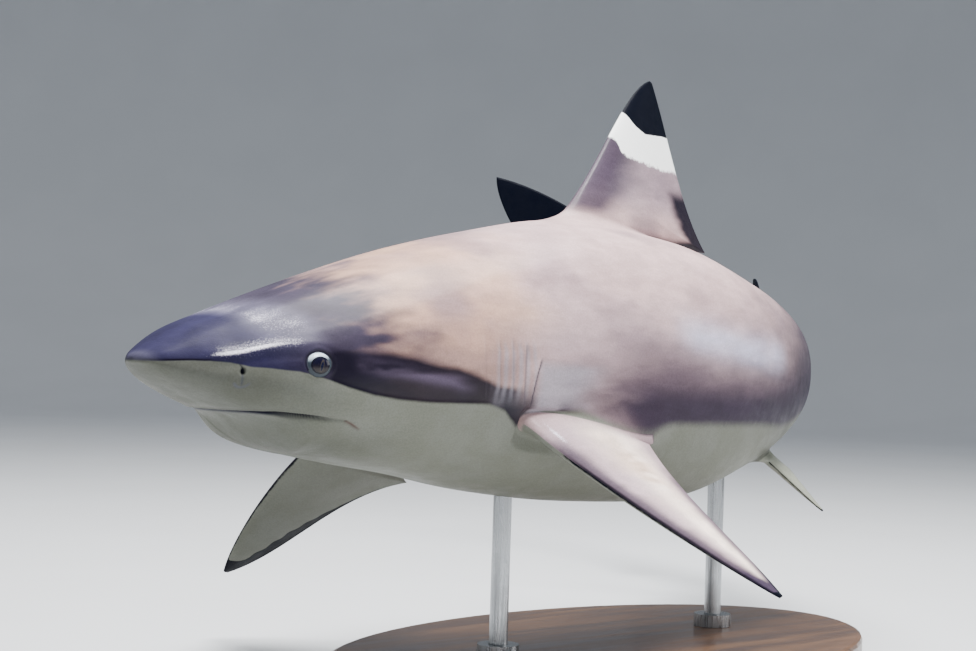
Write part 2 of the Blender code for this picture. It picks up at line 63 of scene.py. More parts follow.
body = {
    "length": 1.45,  # metres along the backbone
    "snout": 0.006,  # station of the snout's tip
    "stalkEnd": 0.745,  # where the tail fin starts
    # station and heading of the backbone in degrees, more where the tail swings to the right
    "bend": ((0.0, 8.0), (0.15, 4.0), (0.3, -1.0), (0.4, 7.0), (0.5, 21.0),
             (0.6, 39.0), (0.7, 64.0), (0.8, 95.0), (1.0, 139.0)),
    # station, back above the axis, belly below it, half width
    "sizes": (
        (0.006, 0.0, 0.0, 0.0),
        (0.0066, 0.0018, 0.0013, 0.0052),
        (0.0090, 0.0040, 0.0029, 0.0110),
        (0.018, 0.0093, 0.0090, 0.0220),
        (0.035, 0.0180, 0.0173, 0.0354),
        (0.060, 0.0267, 0.0268, 0.0475),
        (0.0685, 0.0297, 0.0296, 0.0508),
        (0.090, 0.0372, 0.0445, 0.0580),
        (0.130, 0.0504, 0.0534, 0.0673),
        (0.180, 0.0657, 0.0614, 0.0745),
        (0.230, 0.0775, 0.0716, 0.0750),
        (0.300, 0.0888, 0.0795, 0.0745),
        (0.380, 0.0830, 0.0822, 0.0696),
        (0.460, 0.0656, 0.0674, 0.0566),
        (0.540, 0.0494, 0.0492, 0.0424),
        (0.620, 0.0366, 0.0350, 0.0316),
        (0.680, 0.0266, 0.0240, 0.0228),
        (0.745, 0.0184, 0.0175, 0.0169),
    ),
    "backPower": 2.2,  # 2 is an ellipse, and more is squarer
    "bellyPower": (2.25, 0.5),  # along the trunk, and how much more at the snout
    "crowding": 0.38,  # how much closer the columns are at the sides of the head
    "columns": 480,  # around the body
    "snoutRows": (36, 0.012),  # how many, and how far back they reach
    # up to this station, rows this far apart
    "rows": ((0.050, 0.00055), (0.070, 0.00036), (0.088, 0.00036), (0.125, 0.00055), (0.280, 0.00075),
             (0.745, 0.0018)),
    "tailRows": 120,
}
bodyLength = body["length"]
millimetres = 1000 * bodyLength


def smoothRows(rows):  # a smooth function through rows of (x, values) that doesn't overshoot
    table = np.array(rows, float)
    x, y = table[:, 0], table[:, 1:]
    step = np.diff(x)[:, None]
    slope = np.diff(y, axis=0) / step
    tangent = np.zeros_like(y)
    first = 2 * step[1:] + step[:-1]
    second = step[1:] + 2 * step[:-1]
    with np.errstate(divide="ignore", invalid="ignore"):
        mean = (first + second) / (first / slope[:-1] + second / slope[1:])
    tangent[1:-1] = np.where(slope[:-1] * slope[1:] > 0, mean, 0.0)
    tangent[0], tangent[-1] = slope[0], slope[-1]

    def value(at):
        at = np.atleast_1d(np.asarray(at, float))
        i = np.clip(np.searchsorted(x, at, side="right") - 1, 0, len(x) - 2)
        h = step[i]
        t = (at[:, None] - x[i][:, None]) / h
        return ((1 + 2 * t) * (1 - t) ** 2 * y[i] + t * (1 - t) ** 2 * h * tangent[i]
                + t * t * (3 - 2 * t) * y[i + 1] + t * t * (t - 1) * h * tangent[i + 1])

    return value


def smoothStep(low, high, x):
    t = np.clip((np.asarray(x, float) - low) / (high - low), 0, 1)
    return t * t * (3 - 2 * t)


def between(x, start, full, fade, end):
    return smoothStep(start, full, x) * (1 - smoothStep(fade, end, x))


def bump(x, middle, half):
    return np.exp(-((x - middle) / half) ** 2)


def alongRows(rows, x):
    return np.interp(x, *np.transpose(rows))


def cubic(points, at):
    at = np.asarray(at, float)[..., None]
    a, b, c, d = (np.array(p, float) for p in points)
    return (1 - at) ** 3 * a + 3 * at * (1 - at) ** 2 * b + 3 * at * at * (1 - at) * c + at ** 3 * d


def bothSides(values, sign=1):  # a half ring's values, and back again on the other side
    return np.concatenate([values, sign * values[-2:0:-1]])


def evened(table, width):  # a table of evenly spaced rows, each blended with those near it
    reach = int(4 * width)
    weight = np.exp(-0.5 * (np.arange(-reach, reach + 1) / width) ** 2)
    weight /= weight.sum()
    ends = [np.pad(column, reach, mode="reflect", reflect_type="odd") for column in table.T]
    return np.stack([np.convolve(column, weight, "valid") for column in ends], 1)


tableAt = np.linspace(0, 1, 2001)
shoulders = 500  # row of the tables from which the backbone is laid out
exactSizes = smoothRows(body["sizes"])
sizeTable = exactSizes(np.clip(tableAt, body["snout"], body["stalkEnd"]))
sizeTable += (evened(sizeTable, 14) - sizeTable) * smoothStep(0.03, 0.10, tableAt)[:, None]
headings = np.radians(evened(smoothRows(body["bend"])(tableAt), 12)[:, 0])


def bodySizes(station):  # back, belly and half width, not evened at the snout
    station = np.atleast_1d(station)
    even = np.stack([np.interp(station, tableAt, sizeTable[:, k]) for k in range(3)], -1)
    exact = exactSizes(np.clip(station, body["snout"], body["stalkEnd"]))
    return np.where((station < 0.03)[..., None], exact, even)


def backbone():  # where the body's axis is for each row of the tables
    back = np.stack([np.cos(headings), np.sin(headings), np.zeros_like(headings)], 1)
    step = (back[1:] + back[:-1]) / 2 * np.diff(tableAt)[:, None]
    place = np.vstack([np.zeros(3), np.cumsum(step, 0)])
    return (place - place[shoulders]) * bodyLength


spinePlaces = backbone()
spineShift = np.zeros(3)


def onBody(station, left, up):  # the world's place for a place on the body
    station = np.asarray(station, float)
    place = np.stack([np.interp(station, tableAt, spinePlaces[:, k]) for k in range(3)], -1)
    angle = np.interp(station, tableAt, headings)
    leftWay = np.stack([np.sin(angle), -np.cos(angle), np.zeros_like(angle)], -1)
    left, up = np.asarray(left, float), np.asarray(up, float)
    sideways = left[..., None] * leftWay + up[..., None] * np.array((0, 0, 1.0))
    return place + spineShift + bodyLength * sideways


def waysAt(station):  # unit vectors back, left and up
    angle = float(np.interp(station, tableAt, headings))
    return (np.array((math.cos(angle), math.sin(angle), 0.0)),
            np.array((math.sin(angle), -math.cos(angle), 0.0)), np.array((0.0, 0.0, 1.0)))


def sectionShape(station):  # level of the widest place, and the roundness of the lower half
    belly = bodySizes(station)[:, 1]
    widest = -0.25 * belly * np.maximum(0, 1 - station / 0.12)
    trunk, more = body["bellyPower"]
    return widest, trunk + more * np.maximum(0, 1 - station / 0.1)


# Each row's points as (left, up), with column 0 under the belly and the left side first.
def sectionRows(stations, columns):
    turn = np.linspace(-math.pi / 2, math.pi / 2, 901)
    back, belly, half = (v[:, None] for v in bodySizes(stations).T)
    widest, lower = (v[:, None] for v in sectionShape(stations))
    cos, sin = np.abs(np.cos(turn)), np.sin(turn)
    power = np.where(sin > 0, 2 / body["backPower"], 2 / lower)
    left = half * cos ** power
    left[:, [0, -1]] = 0.0
    height = np.where(sin > 0, back - widest, belly + widest)
    up = widest + height * np.sign(sin) * np.abs(sin) ** power
    run = np.hypot(np.diff(left, axis=1), np.diff(up, axis=1)).cumsum(1)
    run = np.hstack([np.zeros((len(stations), 1)), run])
    share = np.linspace(0, 1, columns // 2 + 1)
    crowd = body["crowding"] * (1 - smoothStep(0.14, 0.24, stations))
    rows = np.empty((len(stations), columns, 2))
    for i, total in enumerate(run[:, -1]):
        at = (share + crowd[i] * np.sin(2 * math.pi * share) / (2 * math.pi)) * total
        x, z = np.interp(at, run[i], left[i]), np.interp(at, run[i], up[i])
        rows[i] = np.column_stack([bothSides(x, -1), bothSides(z)])
    return rows


# The shark's own shape is worked out about its backbone first, and then set where the solids are.
def placeOnFrame():
    stations = np.linspace(body["snout"], 0.15, 60)
    rows = sectionRows(stations, 72)
    points = onBody(stations[:, None], rows[..., 0], rows[..., 1]).reshape(-1, 3)
    low, high = (np.array(corner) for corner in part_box("head"))
    shift = (low + high) / 2 - (points.min(0) + points.max(0)) / 2
    shift[0] = low[0] - points.min(0)[0]
    low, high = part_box("trunk_front")
    sizes = bodySizes(np.linspace(0.232, 0.345, 60))
    shift[2] = (low[2] + high[2]) / 2 - (sizes[:, 0].max() - sizes[:, 1].max()) / 2 * bodyLength
    return shift


spineShift = placeOnFrame()
print("backbone placed", spineShift.round(4))

tailFin = {  # places are (behind the stalk, above the axis)
    "tip": (0.2185, 0.1620),
    "upperEdge": ((0.055, 0.070), (0.143, 0.146)),
    "lowerTip": (0.076, -0.100),
    "lowerEdge": ((0.020, -0.030), (0.058, -0.088)),
    "terminal": ((0.2190, 0.1450), (0.2040, 0.1210)),
    "notch": (0.1860, 0.1190),
    "fork": (0.0870, 0.0280),
    "upperRear": ((0.108, 0.058), (0.158, 0.100)),
    "lowerRear": ((0.076, 0.008), (0.078, -0.050)),
    "notchAt": (0.62, 0.74),  # shares of the upper margin where the notch starts and ends
    "blade": 0.0018,  # half thickness, as is the edge's
    "edge": 0.0003,
}


def tailRearMargin(share):  # -1 at the lower tip, 0 in the fork and 1 at the upper tip
    f = tailFin
    first, last = f["notchAt"]
    lower = cubic((f["fork"], *f["lowerRear"], f["lowerTip"]), np.clip(-share, 0, 1))
    upper = cubic((f["fork"], *f["upperRear"], f["notch"]), np.clip(share / first, 0, 1))
    step = np.clip((share - first) / (last - first), 0, 1)[:, None]
    corner = np.array(f["notch"]) * (1 - step) + np.array(f["terminal"][1]) * step
    end = cubic((f["terminal"][1], f["terminal"][1], f["terminal"][0], f["tip"]),
                np.clip((share - last) / (1 - last), 0, 1))
    share = share[:, None]
    outer = np.where(share < first, upper, np.where(share < last, corner, end))
    return np.where(share < 0, lower, outer)


def tailRows(stalkRing):  # rows of places from the stalk's last ring to the rear margin
    f = tailFin
    half = len(stalkRing) // 2
    share = np.linspace(-1, 1, half + 1)
    start = np.column_stack([np.zeros(half + 1), stalkRing[:half + 1, 1]])
    width = stalkRing[:half + 1, 0]
    end = tailRearMargin(share)
    rows = []
    for along in np.linspace(0, 1, body["tailRows"] + 1)[1:]:
        places = start * (1 - along) + end * along
        for side, points, first in ((1, (*f["upperEdge"], f["tip"]), start[-1]),
                                    (-1, (*f["lowerEdge"], f["lowerTip"]), start[0])):
            straight = first * (1 - along) + np.array(points[-1]) * along
            curve = cubic((first, *points), np.array([along]))[0]
            places = places + np.clip(side * share, 0, 1)[:, None] ** 2 * (curve - straight)
        fade = (1 - along) ** np.where(share > 0, 2.6 - 1.6 * share, 2.6 - 0.4 * share)
        rounded = np.sqrt(np.clip(1 - share ** 2, 0, 1))
        blade = f["blade"] * (1 - along) ** 0.5 * rounded * min(1, 4 * along)
        thick = np.maximum(np.hypot(width * fade, blade), f["edge"] * np.minimum(1, 4 * rounded))
        thick[[0, -1]] = 0.0
        behind, up = places.T
        rows.append(np.column_stack([body["stalkEnd"] + bothSides(behind), bothSides(thick, -1),
                                     bothSides(up)]))
    return np.array(rows)


def bodyRows():  # the stations of the rows, close together round the mouth and the eyes
    count, reach = body["snoutRows"]
    stations = list(body["snout"] + reach * (np.arange(1, count + 1) / count) ** 2)
    for end, step in body["rows"]:
        count = round((end - stations[-1]) / step)
        stations += list(np.linspace(stations[-1], end, count + 1)[1:])
    return np.array(stations)


def makeBodyGrid():
    stations = bodyRows()
    rows = sectionRows(stations, body["columns"])
    places = np.dstack([np.repeat(stations[:, None], body["columns"], 1), rows])
    places = np.concatenate([places, tailRows(rows[-1])])
    return stations, onBody(*np.moveaxis(places, -1, 0)), places


rowStations, gridPoints, gridPlaces = makeBodyGrid()
rowCount, columnCount = gridPoints.shape[:2]
print("body grid", rowCount, "rows of", columnCount)

# A fin's leading margin is a cubic curve to the tip. Its rear margin runs along the inner margin to
# the rear tip, and by a second curve to the tip. Places are (back, out) from the fin's origin, and
# angles are how far a paired fin droops, swings back and twists. A root is how far the leading
# and the rear margin reach into the body. Fillets and rings are in metres.

pectoral = {
    "station": 0.216, "base": 0.046, "tip": (0.0890, 0.1430), "blunt": 0.004,
    "halfThickness": 0.0075, "seat": (0.87, 0.39), "holeColumns": 14, "ringStep": 0.0020,
}
pelvic = {
    "station": 0.478, "base": 0.042, "tip": (0.038, 0.053), "blunt": 0.005,
    "leading": ((0.010, 0.016), (0.027, 0.045)), "rearTip": (0.070, 0.012),
    "rear": ((0.058, 0.026), (0.047, 0.042)), "halfThickness": 0.0042,
    "seat": (0.50, 0.80), "angles": (42.0, 0.0, 12.0), "bent": 0.0,
    "root": (0.010, 0.026), "holeColumns": 8, "fillet": 0.010, "ringStep": 0.0018,
}
fins = {
    "dorsalFirst": {
        "station": 0.300, "base": 0.104, "tip": (0.098, 0.108), "blunt": 0.003,
        "leading": ((0.034, 0.030), (0.068, 0.096)), "rearTip": (0.148, -0.001),
        "rear": ((0.121, 0.025), (0.113, 0.080)), "halfThickness": 0.0080,
        "upright": 1, "lean": 8.0, "root": (0.012, 0.012),
        "holeColumns": 12, "fillet": 0.018, "ringStep": 0.0020,
    },
    "dorsalSecond": {
        "station": 0.618, "base": 0.046, "tip": (0.046, 0.042), "blunt": 0.004,
        "leading": ((0.014, 0.011), (0.028, 0.038)), "rearTip": (0.083, 0.006),
        "rear": ((0.058, 0.012), (0.050, 0.022)), "halfThickness": 0.0034,
        "upright": 1, "lean": 0.0, "root": (0.006, 0.008),
        "holeColumns": 6, "fillet": 0.009, "ringStep": 0.0016,
    },
    "anal": {
        "station": 0.615, "base": 0.048, "tip": (0.054, 0.044), "blunt": 0.004,
        "leading": ((0.018, 0.012), (0.036, 0.040)), "rearTip": (0.082, 0.006),
        "rear": ((0.058, 0.010), (0.052, 0.026)), "halfThickness": 0.0034,
        "upright": -1, "lean": 0.0, "root": (0.006, 0.008),
        "holeColumns": 6, "fillet": 0.009, "ringStep": 0.0016,
    },
    "pectoralLeft": {
        **pectoral, "side": 1, "leading": ((0.008, 0.044), (0.063, 0.117)),
        "rearTip": (0.098, 0.013), "rear": ((0.079, 0.055), (0.096, 0.104)),
        "angles": (36.0, 1.5, 4.6), "bent": 0.015, "root": (0.016, 0.016), "fillet": 0.010,
    },
    "pectoralRight": {
        **pectoral, "side": -1, "leading": ((-0.010, 0.040), (0.053, 0.118)),
        "rearTip": (0.100, 0.013), "rear": ((0.074, 0.054), (0.111, 0.104)),
        "angles": (39.5, -37.0, 6.0), "bent": 0.052, "root": (0.016, 0.050), "fillet": 0.011,
    },
    "pelvicLeft": {**pelvic, "side": 1},
    "pelvicRight": {**pelvic, "side": -1},
}
finEdge = 0.00028  # half thickness of a rear margin, as a share of the length
finRearRise = 0.005  # how far a fillet runs up the rear margin, in metres


def finPlacer(fin):  # a function from (back, out, thickness) to the world
    if "upright" in fin:
        side = fin["upright"]
        ends = bodySizes(np.array([fin["station"], fin["station"] + fin["base"]]))
        level = ends[:, 0 if side > 0 else 1]
        lean = math.radians(fin["lean"])

        def place(back, out, half):
            base = np.interp(back, (0, fin["base"]), level)
            left = half * math.cos(lean) - out * math.sin(lean)
            up = base + out * math.cos(lean) + half * math.sin(lean)
            return onBody(fin["station"] + back, left, side * up)

        return place
    side = fin["side"]
    droop, swing, twist = (math.radians(a) for a in fin["angles"])
    _, belly, halfWidth = bodySizes(fin["station"])[0]
    across, down = fin["seat"]
    seat = onBody(fin["station"], side * halfWidth * across, -belly * down)
    back, left, up = waysAt(fin["station"])
    out = side * left * math.cos(droop) - up * math.sin(droop)
    normal = up * math.cos(droop) + side * left * math.sin(droop)
    chord = back * math.cos(twist) - normal * math.sin(twist)
    normal = normal * math.cos(twist) + back * math.sin(twist)
    swung = chord * math.cos(swing) - out * math.sin(swing)
    out = out * math.cos(swing) + chord * math.sin(swing)
    span = fin["tip"][1]

    def place(along, outwards, half):
        bent = -fin["bent"] * np.maximum(outwards, 0) ** 2 / span
        parts = (along[..., None] * swung + outwards[..., None] * out
                 + (side * half + bent)[..., None] * normal)
        return seat + bodyLength * parts

    return place


def outsideBody(points):  # below 0 inside the body, above it outside
    ring = spinePlaces + spineShift
    nearest = np.argmin(((points[:, None, :2] - ring[None, ::4, :2]) ** 2).sum(-1), 1) * 4
    angle = headings[nearest]
    offset = (points - ring[nearest]) / bodyLength
    left = offset[:, 0] * np.sin(angle) - offset[:, 1] * np.cos(angle)
    back, belly, half = bodySizes(tableAt[nearest]).T
    widest, lower = sectionShape(tableAt[nearest])
    above = offset[:, 2] > widest
    height = np.where(above, back - widest, belly + widest)
    power = np.where(above, body["backPower"], lower)
    return (np.abs(left) / half) ** power + (np.abs(offset[:, 2] - widest) / height) ** power - 1


def distanceAlong(points):
    return np.concatenate([[0], np.hypot(*np.diff(points, axis=0).T).cumsum()])


def alongLine(points, run, at):
    return np.stack([np.interp(at, run, points[:, k]) for k in range(2)], -1)


def foil(x):  # thickness along a chord from the leading edge, 1 at its thickest
    return 10 * (0.2969 * np.sqrt(x) - 0.126 * x - 0.3516 * x ** 2 + 0.2843 * x ** 3 - 0.1036 * x ** 4)


# The leading and the rear margin, each as a line from inside the body to the tip, its distances,
# and how far along it the body's skin is. Also how far along the rear one the rear tip is.
def finMargins(fin):
    steps = np.linspace(0, 1, 241)
    leading = np.vstack([[(0, -fin["root"][0])], cubic(((0, 0), *fin["leading"], fin["tip"]), steps)])
    rearTip, insertion = np.array(fin["rearTip"]), np.array((fin["base"], 0.0))
    bulge = (rearTip - insertion) * 0.5 + (0.0, 0.25 * rearTip[1])
    inner = cubic((insertion, insertion + bulge * 0.6, insertion + bulge * 1.4, rearTip), steps)
    end = np.array(fin["tip"]) + (fin["blunt"], -0.3 * fin["blunt"])
    outer = cubic((rearTip, *fin["rear"], end), steps)
    rear = np.vstack([[(fin["base"], -fin["root"][1])], inner, outer[1:]])
    place = finPlacer(fin)
    margins = []
    for points in (leading, rear):
        run = distanceAlong(points)
        at = np.linspace(0, min(run[-1] * 0.4, 0.08), 400)
        back, out = alongLine(points, run, at).T
        outside = outsideBody(place(back, out, np.zeros_like(back))) > 0
        margins.append((points, run, at[np.argmax(outside)]))
    return margins, margins[1][1][len(inner)]


def finEnds(fin):  # where the two margins leave the skin
    margins, _ = finMargins(fin)
    back, out = np.array([alongLine(*margin) for margin in margins]).T
    return finPlacer(fin)(back, out, np.zeros(2))


def stretches(stops, counts):  # evenly spaced within each stretch, without its start
    return np.concatenate([np.linspace(low, high, count + 1)[1:]
                           for low, high, count in zip(stops, stops[1:], counts)])


# Rings of points from just outside the skin to the tip, what is known of each point, and how many
# rings are the fillet's. Each starts at the leading edge, runs back on one side and returns on the
# other.
def finRings(fin, around):
    ((leading, leadRun, leadStart), (rear, rearRun, rearStart)), toRearTip = finMargins(fin)
    step, fillet = fin["ringStep"] / bodyLength, fin["fillet"] / bodyLength
    leadLength, innerLength = leadRun[-1] - leadStart, toRearTip - rearStart
    counts = (max(5, round(fillet / step)), max(6, round(innerLength * 0.8 / step)),
              max(12, round(leadLength * 0.82 / step)))
    leadStops = (0, fillet, max(0.24 * leadLength, fillet * 1.25), leadLength)
    rearStops = (0, finRearRise / bodyLength, innerLength, rearRun[-1] - rearStart)
    near = alongLine(leading, leadRun, leadStart + stretches(leadStops, counts))
    far = alongLine(rear, rearRun, rearStart + stretches(rearStops, counts))
    chord = (1 - np.cos(np.linspace(0, math.pi, around // 2 + 1))) / 2
    place = finPlacer(fin)
    rings, details = [], []
    for front, behind in zip(near, far):
        back, out = (front + (behind - front) * chord[:, None]).T
        width = math.hypot(*(behind - front))
        share = min(max(front[1] / fin["tip"][1], 0), 1)
        thick = min(fin["halfThickness"] * (1 - share) ** 0.8 + 2 * finEdge, 0.2 * width + finEdge)
        thickness = np.maximum(thick * foil(chord), finEdge)
        thickness *= np.sqrt(np.clip((1 - chord) * width / finEdge, 0, 1))
        thickness[0] = 0.0
        back, out, across = bothSides(back), bothSides(out), bothSides(thickness, -1)
        rings.append(place(back, out, across))
        fromFront = bothSides(chord) * width
        details.append(np.column_stack([back, out, across, fromFront, width - fromFront]))
    return np.array(rings), np.array(details), counts[0]


class Skin:  # points, faces and what is known of each point, gathered piece by piece
    def __init__(self):
        self.points, self.places, self.finOf = [], [], []
        self.quads, self.tris = [], []
        self.count = 0

    def add(self, points, places, finNumber=-1):  # gives back the number of the first new point
        first = self.count
        self.points.append(points.reshape(-1, 3))
        self.places.append(places.reshape(-1, 5))
        self.finOf.append(np.full(len(self.points[-1]), finNumber))
        self.count += len(self.points[-1])
        return first

    def closeEdge(self, ring):  # joins the two sides of a thin margin
        half = len(ring) // 2
        k = np.arange(1, half - 1)
        self.quads.append(np.stack([ring[k], ring[k + 1], ring[-k - 1], ring[-k]], -1))
        self.tris.append(np.array([(ring[0], ring[1], ring[-1]),
                                   (ring[half - 1], ring[half], ring[half + 1])]))


def gridIndex(i, j):
    return i * columnCount + np.asarray(j) % columnCount


def nearestOnGrid(point):
    distance = ((gridPoints[:rowStations.size] - point) ** 2).sum(-1)
    return np.unravel_index(np.argmin(distance), distance.shape)


def finHole(fin):  # first and last row of the hole that a fin grows from, and its middle column
    (i0, j0), (i1, j1) = (nearestOnGrid(end) for end in finEnds(fin))
    if "upright" in fin:
        return i0, i1, columnCount // 2 if fin["upright"] > 0 else 0
    return i0, i1, round((j0 + j1) / 2)


def holeBorder(i0, i1, middle, wide):  # from the middle of its front round by the higher columns
    return np.concatenate([gridIndex(i0, middle + np.arange(0, wide)),
                           gridIndex(np.arange(i0, i1), middle + wide),
                           gridIndex(i1, middle + np.arange(wide, -wide, -1)),
                           gridIndex(np.arange(i1, i0, -1), middle - wide),
                           gridIndex(i0, middle + np.arange(-wide, 0))])


def growFin(skin, fin, number, border):  # gives back the loops of points from the hole to the tip
    around = len(border)
    rings, details, filletRings = finRings(fin, around)
    quarter = skin.points[0][border[around // 4]]
    one, other = (np.linalg.norm(rings[filletRings, k] - quarter) for k in (around // 4, -around // 4))
    if one > other:  # the ring's first half goes to the side that the border's first half is on
        flip = np.concatenate([[0], np.arange(around - 1, 0, -1)])
        rings, details = rings[:, flip], details[:, flip]
    first = skin.add(rings, details, number)
    loops = np.vstack([border, first + np.arange(len(rings) * around).reshape(-1, around)])
    a, b = loops[:-1], loops[1:]
    skin.quads.append(np.stack([a, np.roll(a, -1, 1), np.roll(b, -1, 1), b], -1).reshape(-1, 4))
    skin.closeEdge(loops[-1])
    return loops, filletRings


def rootPatch(fin, i0, i1, middle, wide):  # points of the body round a fin's root
    corner = gridPoints[i0, middle % columnCount]
    stepRow = np.linalg.norm(gridPoints[i0 + 1, middle % columnCount] - corner)
    stepColumn = np.linalg.norm(gridPoints[i0, (middle + 1) % columnCount] - corner)
    rowReach, columnReach = (max(4, round(fin["fillet"] / step)) for step in (stepRow, stepColumn))
    rows = np.arange(i0 - rowReach, i1 + rowReach + 1)
    columns = middle + np.arange(-wide - columnReach, wide + columnReach + 1)
    return gridIndex(rows[:, None], columns[None]).ravel()


def buildSkin():
    skin = Skin()
    places = np.zeros((rowCount, columnCount, 5))
    places[..., :3] = gridPlaces
    skin.add(gridPoints, places)
    keep = np.ones((rowCount - 1, columnCount), bool)
    patches = []  # sets of points to be smoothed
    for number, (name, fin) in enumerate(fins.items()):
        i0, i1, middle = finHole(fin)
        wide = fin["holeColumns"] // 2
        keep[np.ix_(np.arange(i0, i1), np.arange(middle - wide, middle + wide) % columnCount)] = False
        loops, filletRings = growFin(skin, fin, number, holeBorder(i0, i1, middle, wide))
        patches.append(np.concatenate([rootPatch(fin, i0, i1, middle, wide),
                                       loops[1:filletRings].ravel()]))
        print(name, "rows", i0, "to", i1, "in", len(loops), "loops of", loops.shape[1])
    i, j = np.nonzero(keep)
    skin.quads.append(np.stack([gridIndex(i, j), gridIndex(i, j + 1), gridIndex(i + 1, j + 1),
                                gridIndex(i + 1, j)], -1))
    tip = skin.add(onBody(body["snout"], 0.0, 0.0), np.array([body["snout"], 0, 0, 0, 0]))
    j = np.arange(columnCount)
    skin.tris.append(np.stack([np.full(columnCount, tip), gridIndex(0, j + 1), gridIndex(0, j)], -1))
    skin.closeEdge(gridIndex(rowCount - 1, j))  # the tail fin's rear margin
    seam = np.arange(rowStations.size - 9, rowStations.size + 6)  # from the stalk to the tail fin
    patches.append(gridIndex(seam[:, None], j[None]).ravel())
    return skin, patches


skin, patches = buildSkin()
points = np.concatenate(skin.points)
places = np.concatenate(skin.places)  # (station, left, up), or (back, out, across, ...) on a fin
finOf = np.concatenate(skin.finOf)
quads = np.concatenate(skin.quads)[:, ::-1]
tris = np.concatenate(skin.tris)[:, ::-1]
print("skin", len(points), "points", len(quads), "quads")


def edgeList():
    pairs = [faces[:, [k, (k + 1) % faces.shape[1]]]
             for faces in (quads, tris) for k in range(faces.shape[1])]
    pairs = np.sort(np.concatenate(pairs), 1)
    code = np.unique(pairs[:, 0].astype(np.int64) * len(points) + pairs[:, 1])
    return np.stack([code // len(points), code % len(points)], 1)


edges = edgeList()
used = np.zeros(len(points), bool)
used[edges.ravel()] = True


# Moves the free points to the smoothest surface that meets what is round them without a bend, by
# conjugate gradients.
def fair(free, rounds):
    isFree = np.zeros(len(points), bool)
    isFree[free] = True
    isFree &= used
    near = isFree.copy()
    for _ in range(2):
        touching = near[edges].any(1)
        grown = near.copy()
        grown[edges[touching].ravel()] = True
        inner, near = near, grown
    mine = np.flatnonzero(near)
    number = np.full(len(points), -1)
    number[mine] = np.arange(len(mine))
    local = number[edges[near[edges].all(1)]]
    degree = np.bincount(local.ravel(), minlength=len(mine)).astype(float)
    measured = inner[mine]
    freeHere = isFree[mine]

    def laplace(x):
        total = np.empty_like(x)
        for k in range(x.shape[1]):
            total[:, k] = (np.bincount(local[:, 0], x[local[:, 1], k], len(mine))
                           + np.bincount(local[:, 1], x[local[:, 0], k], len(mine)))
        return degree[:, None] * x - total

    def energy(x):
        return np.where(freeHere[:, None], laplace(np.where(measured[:, None], laplace(x), 0.0)), 0.0)

    x = points[mine].copy()
    origin = x.mean(0)
    x -= origin
    residual = -energy(x)
    direction = residual.copy()
    size = (residual ** 2).sum(0)
    for _ in range(rounds):
        pushed = energy(direction)
        length = size / np.maximum((direction * pushed).sum(0), 1e-30)
        x += length * direction
        residual -= length * pushed
        now = (residual ** 2).sum(0)
        direction = residual + now / np.maximum(size, 1e-30) * direction
        size = now
        if now.max() < 1e-18:
            break
    points[mine[freeHere]] = x[freeHere] + origin


for patch in patches:
    fair(patch, rounds=1200)
print("roots of the fins faired")


def pointNormals():
    total = np.zeros_like(points)
    for faces in (quads, tris):
        corners = points[faces]
        start = corners[:, 3] if faces.shape[1] == 4 else corners[:, 0]
        across = np.cross(corners[:, 1] - start, corners[:, 2] - corners[:, 0])
        for k in range(faces.shape[1]):
            for axis in range(3):
                total[:, axis] += np.bincount(faces[:, k], across[:, axis], len(points))
    return total / np.maximum(np.linalg.norm(total, axis=1), 1e-20)[:, None]


# Relief is worked out in millimetres out of the skin, from the place on the body.

mouth = {
    "corner": 0.1000, "level": -0.0247, "fallFrom": 0.068, "fall": 0.12,
    # millimetres
    "depth": 3.0, "width": 1.15, "lowerLip": 0.8, "upperLip": 0.5,
    "jawDrop": 7.6, "jawBack": 7.0, "jawReach": 16.0,
    # station and level of the fold behind the corner
    "furrow": ((0.0995, -0.0286), (0.1040, -0.0294), (0.1075, -0.0322), (0.1125, -0.0332)),
}
nostril = {"station": 0.0417, "up": -0.0045, "half": (1.5, 2.5), "depth": 3.2}
eye = {  # millimetres, and "flatter" is how much wider than high the opening is
    "opening": 8.7, "flatter": 1.15, "lift": 2.2, "lidWidth": 0.9, "lidHeight": 0.6,
    "socketDepth": 7.0, "stepRing": 0.55, "reach": 22,
}
gills = {
    # station at the top and the bottom of each slit, and how high those are
    "slits": ((0.1790, 0.1815, 0.0165, -0.0165), (0.1900, 0.1922, 0.0170, -0.0180),
              (0.2000, 0.2018, 0.0165, -0.0185), (0.2105, 0.2105, 0.0130, -0.0190),
              (0.2222, 0.2158, 0.0055, -0.0200)),
    "rise": 0.9, "drop": 1.7, "strength": (0.45, 0.5, 0.6, 0.85, 1.35),
}
ridge = {  # from the snout to above the eye: station and level of the crest
    "crest": ((0.0, 0.0020), (0.020, 0.0024), (0.028, 0.0029), (0.036, 0.0038), (0.0411, 0.0046),
              (0.0472, 0.0062), (0.0554, 0.0081), (0.0626, 0.0093), (0.071, 0.0098), (1.0, 0.0098)),
    "height": 1.3, "width": 0.0028, "hollow": 0.9, "below": 0.0056,
}

normals = pointNormals()
station, upOf = places[:, 0], places[:, 2]
onTrunk = finOf < 0
chunk = 4000  # places worked on at a time
farAway = 99.0  # millimetres, for points that are not near an eye


def mouthLevel(at):
    return mouth["level"] - mouth["fall"] * np.maximum(0, at - mouth["fallFrom"])


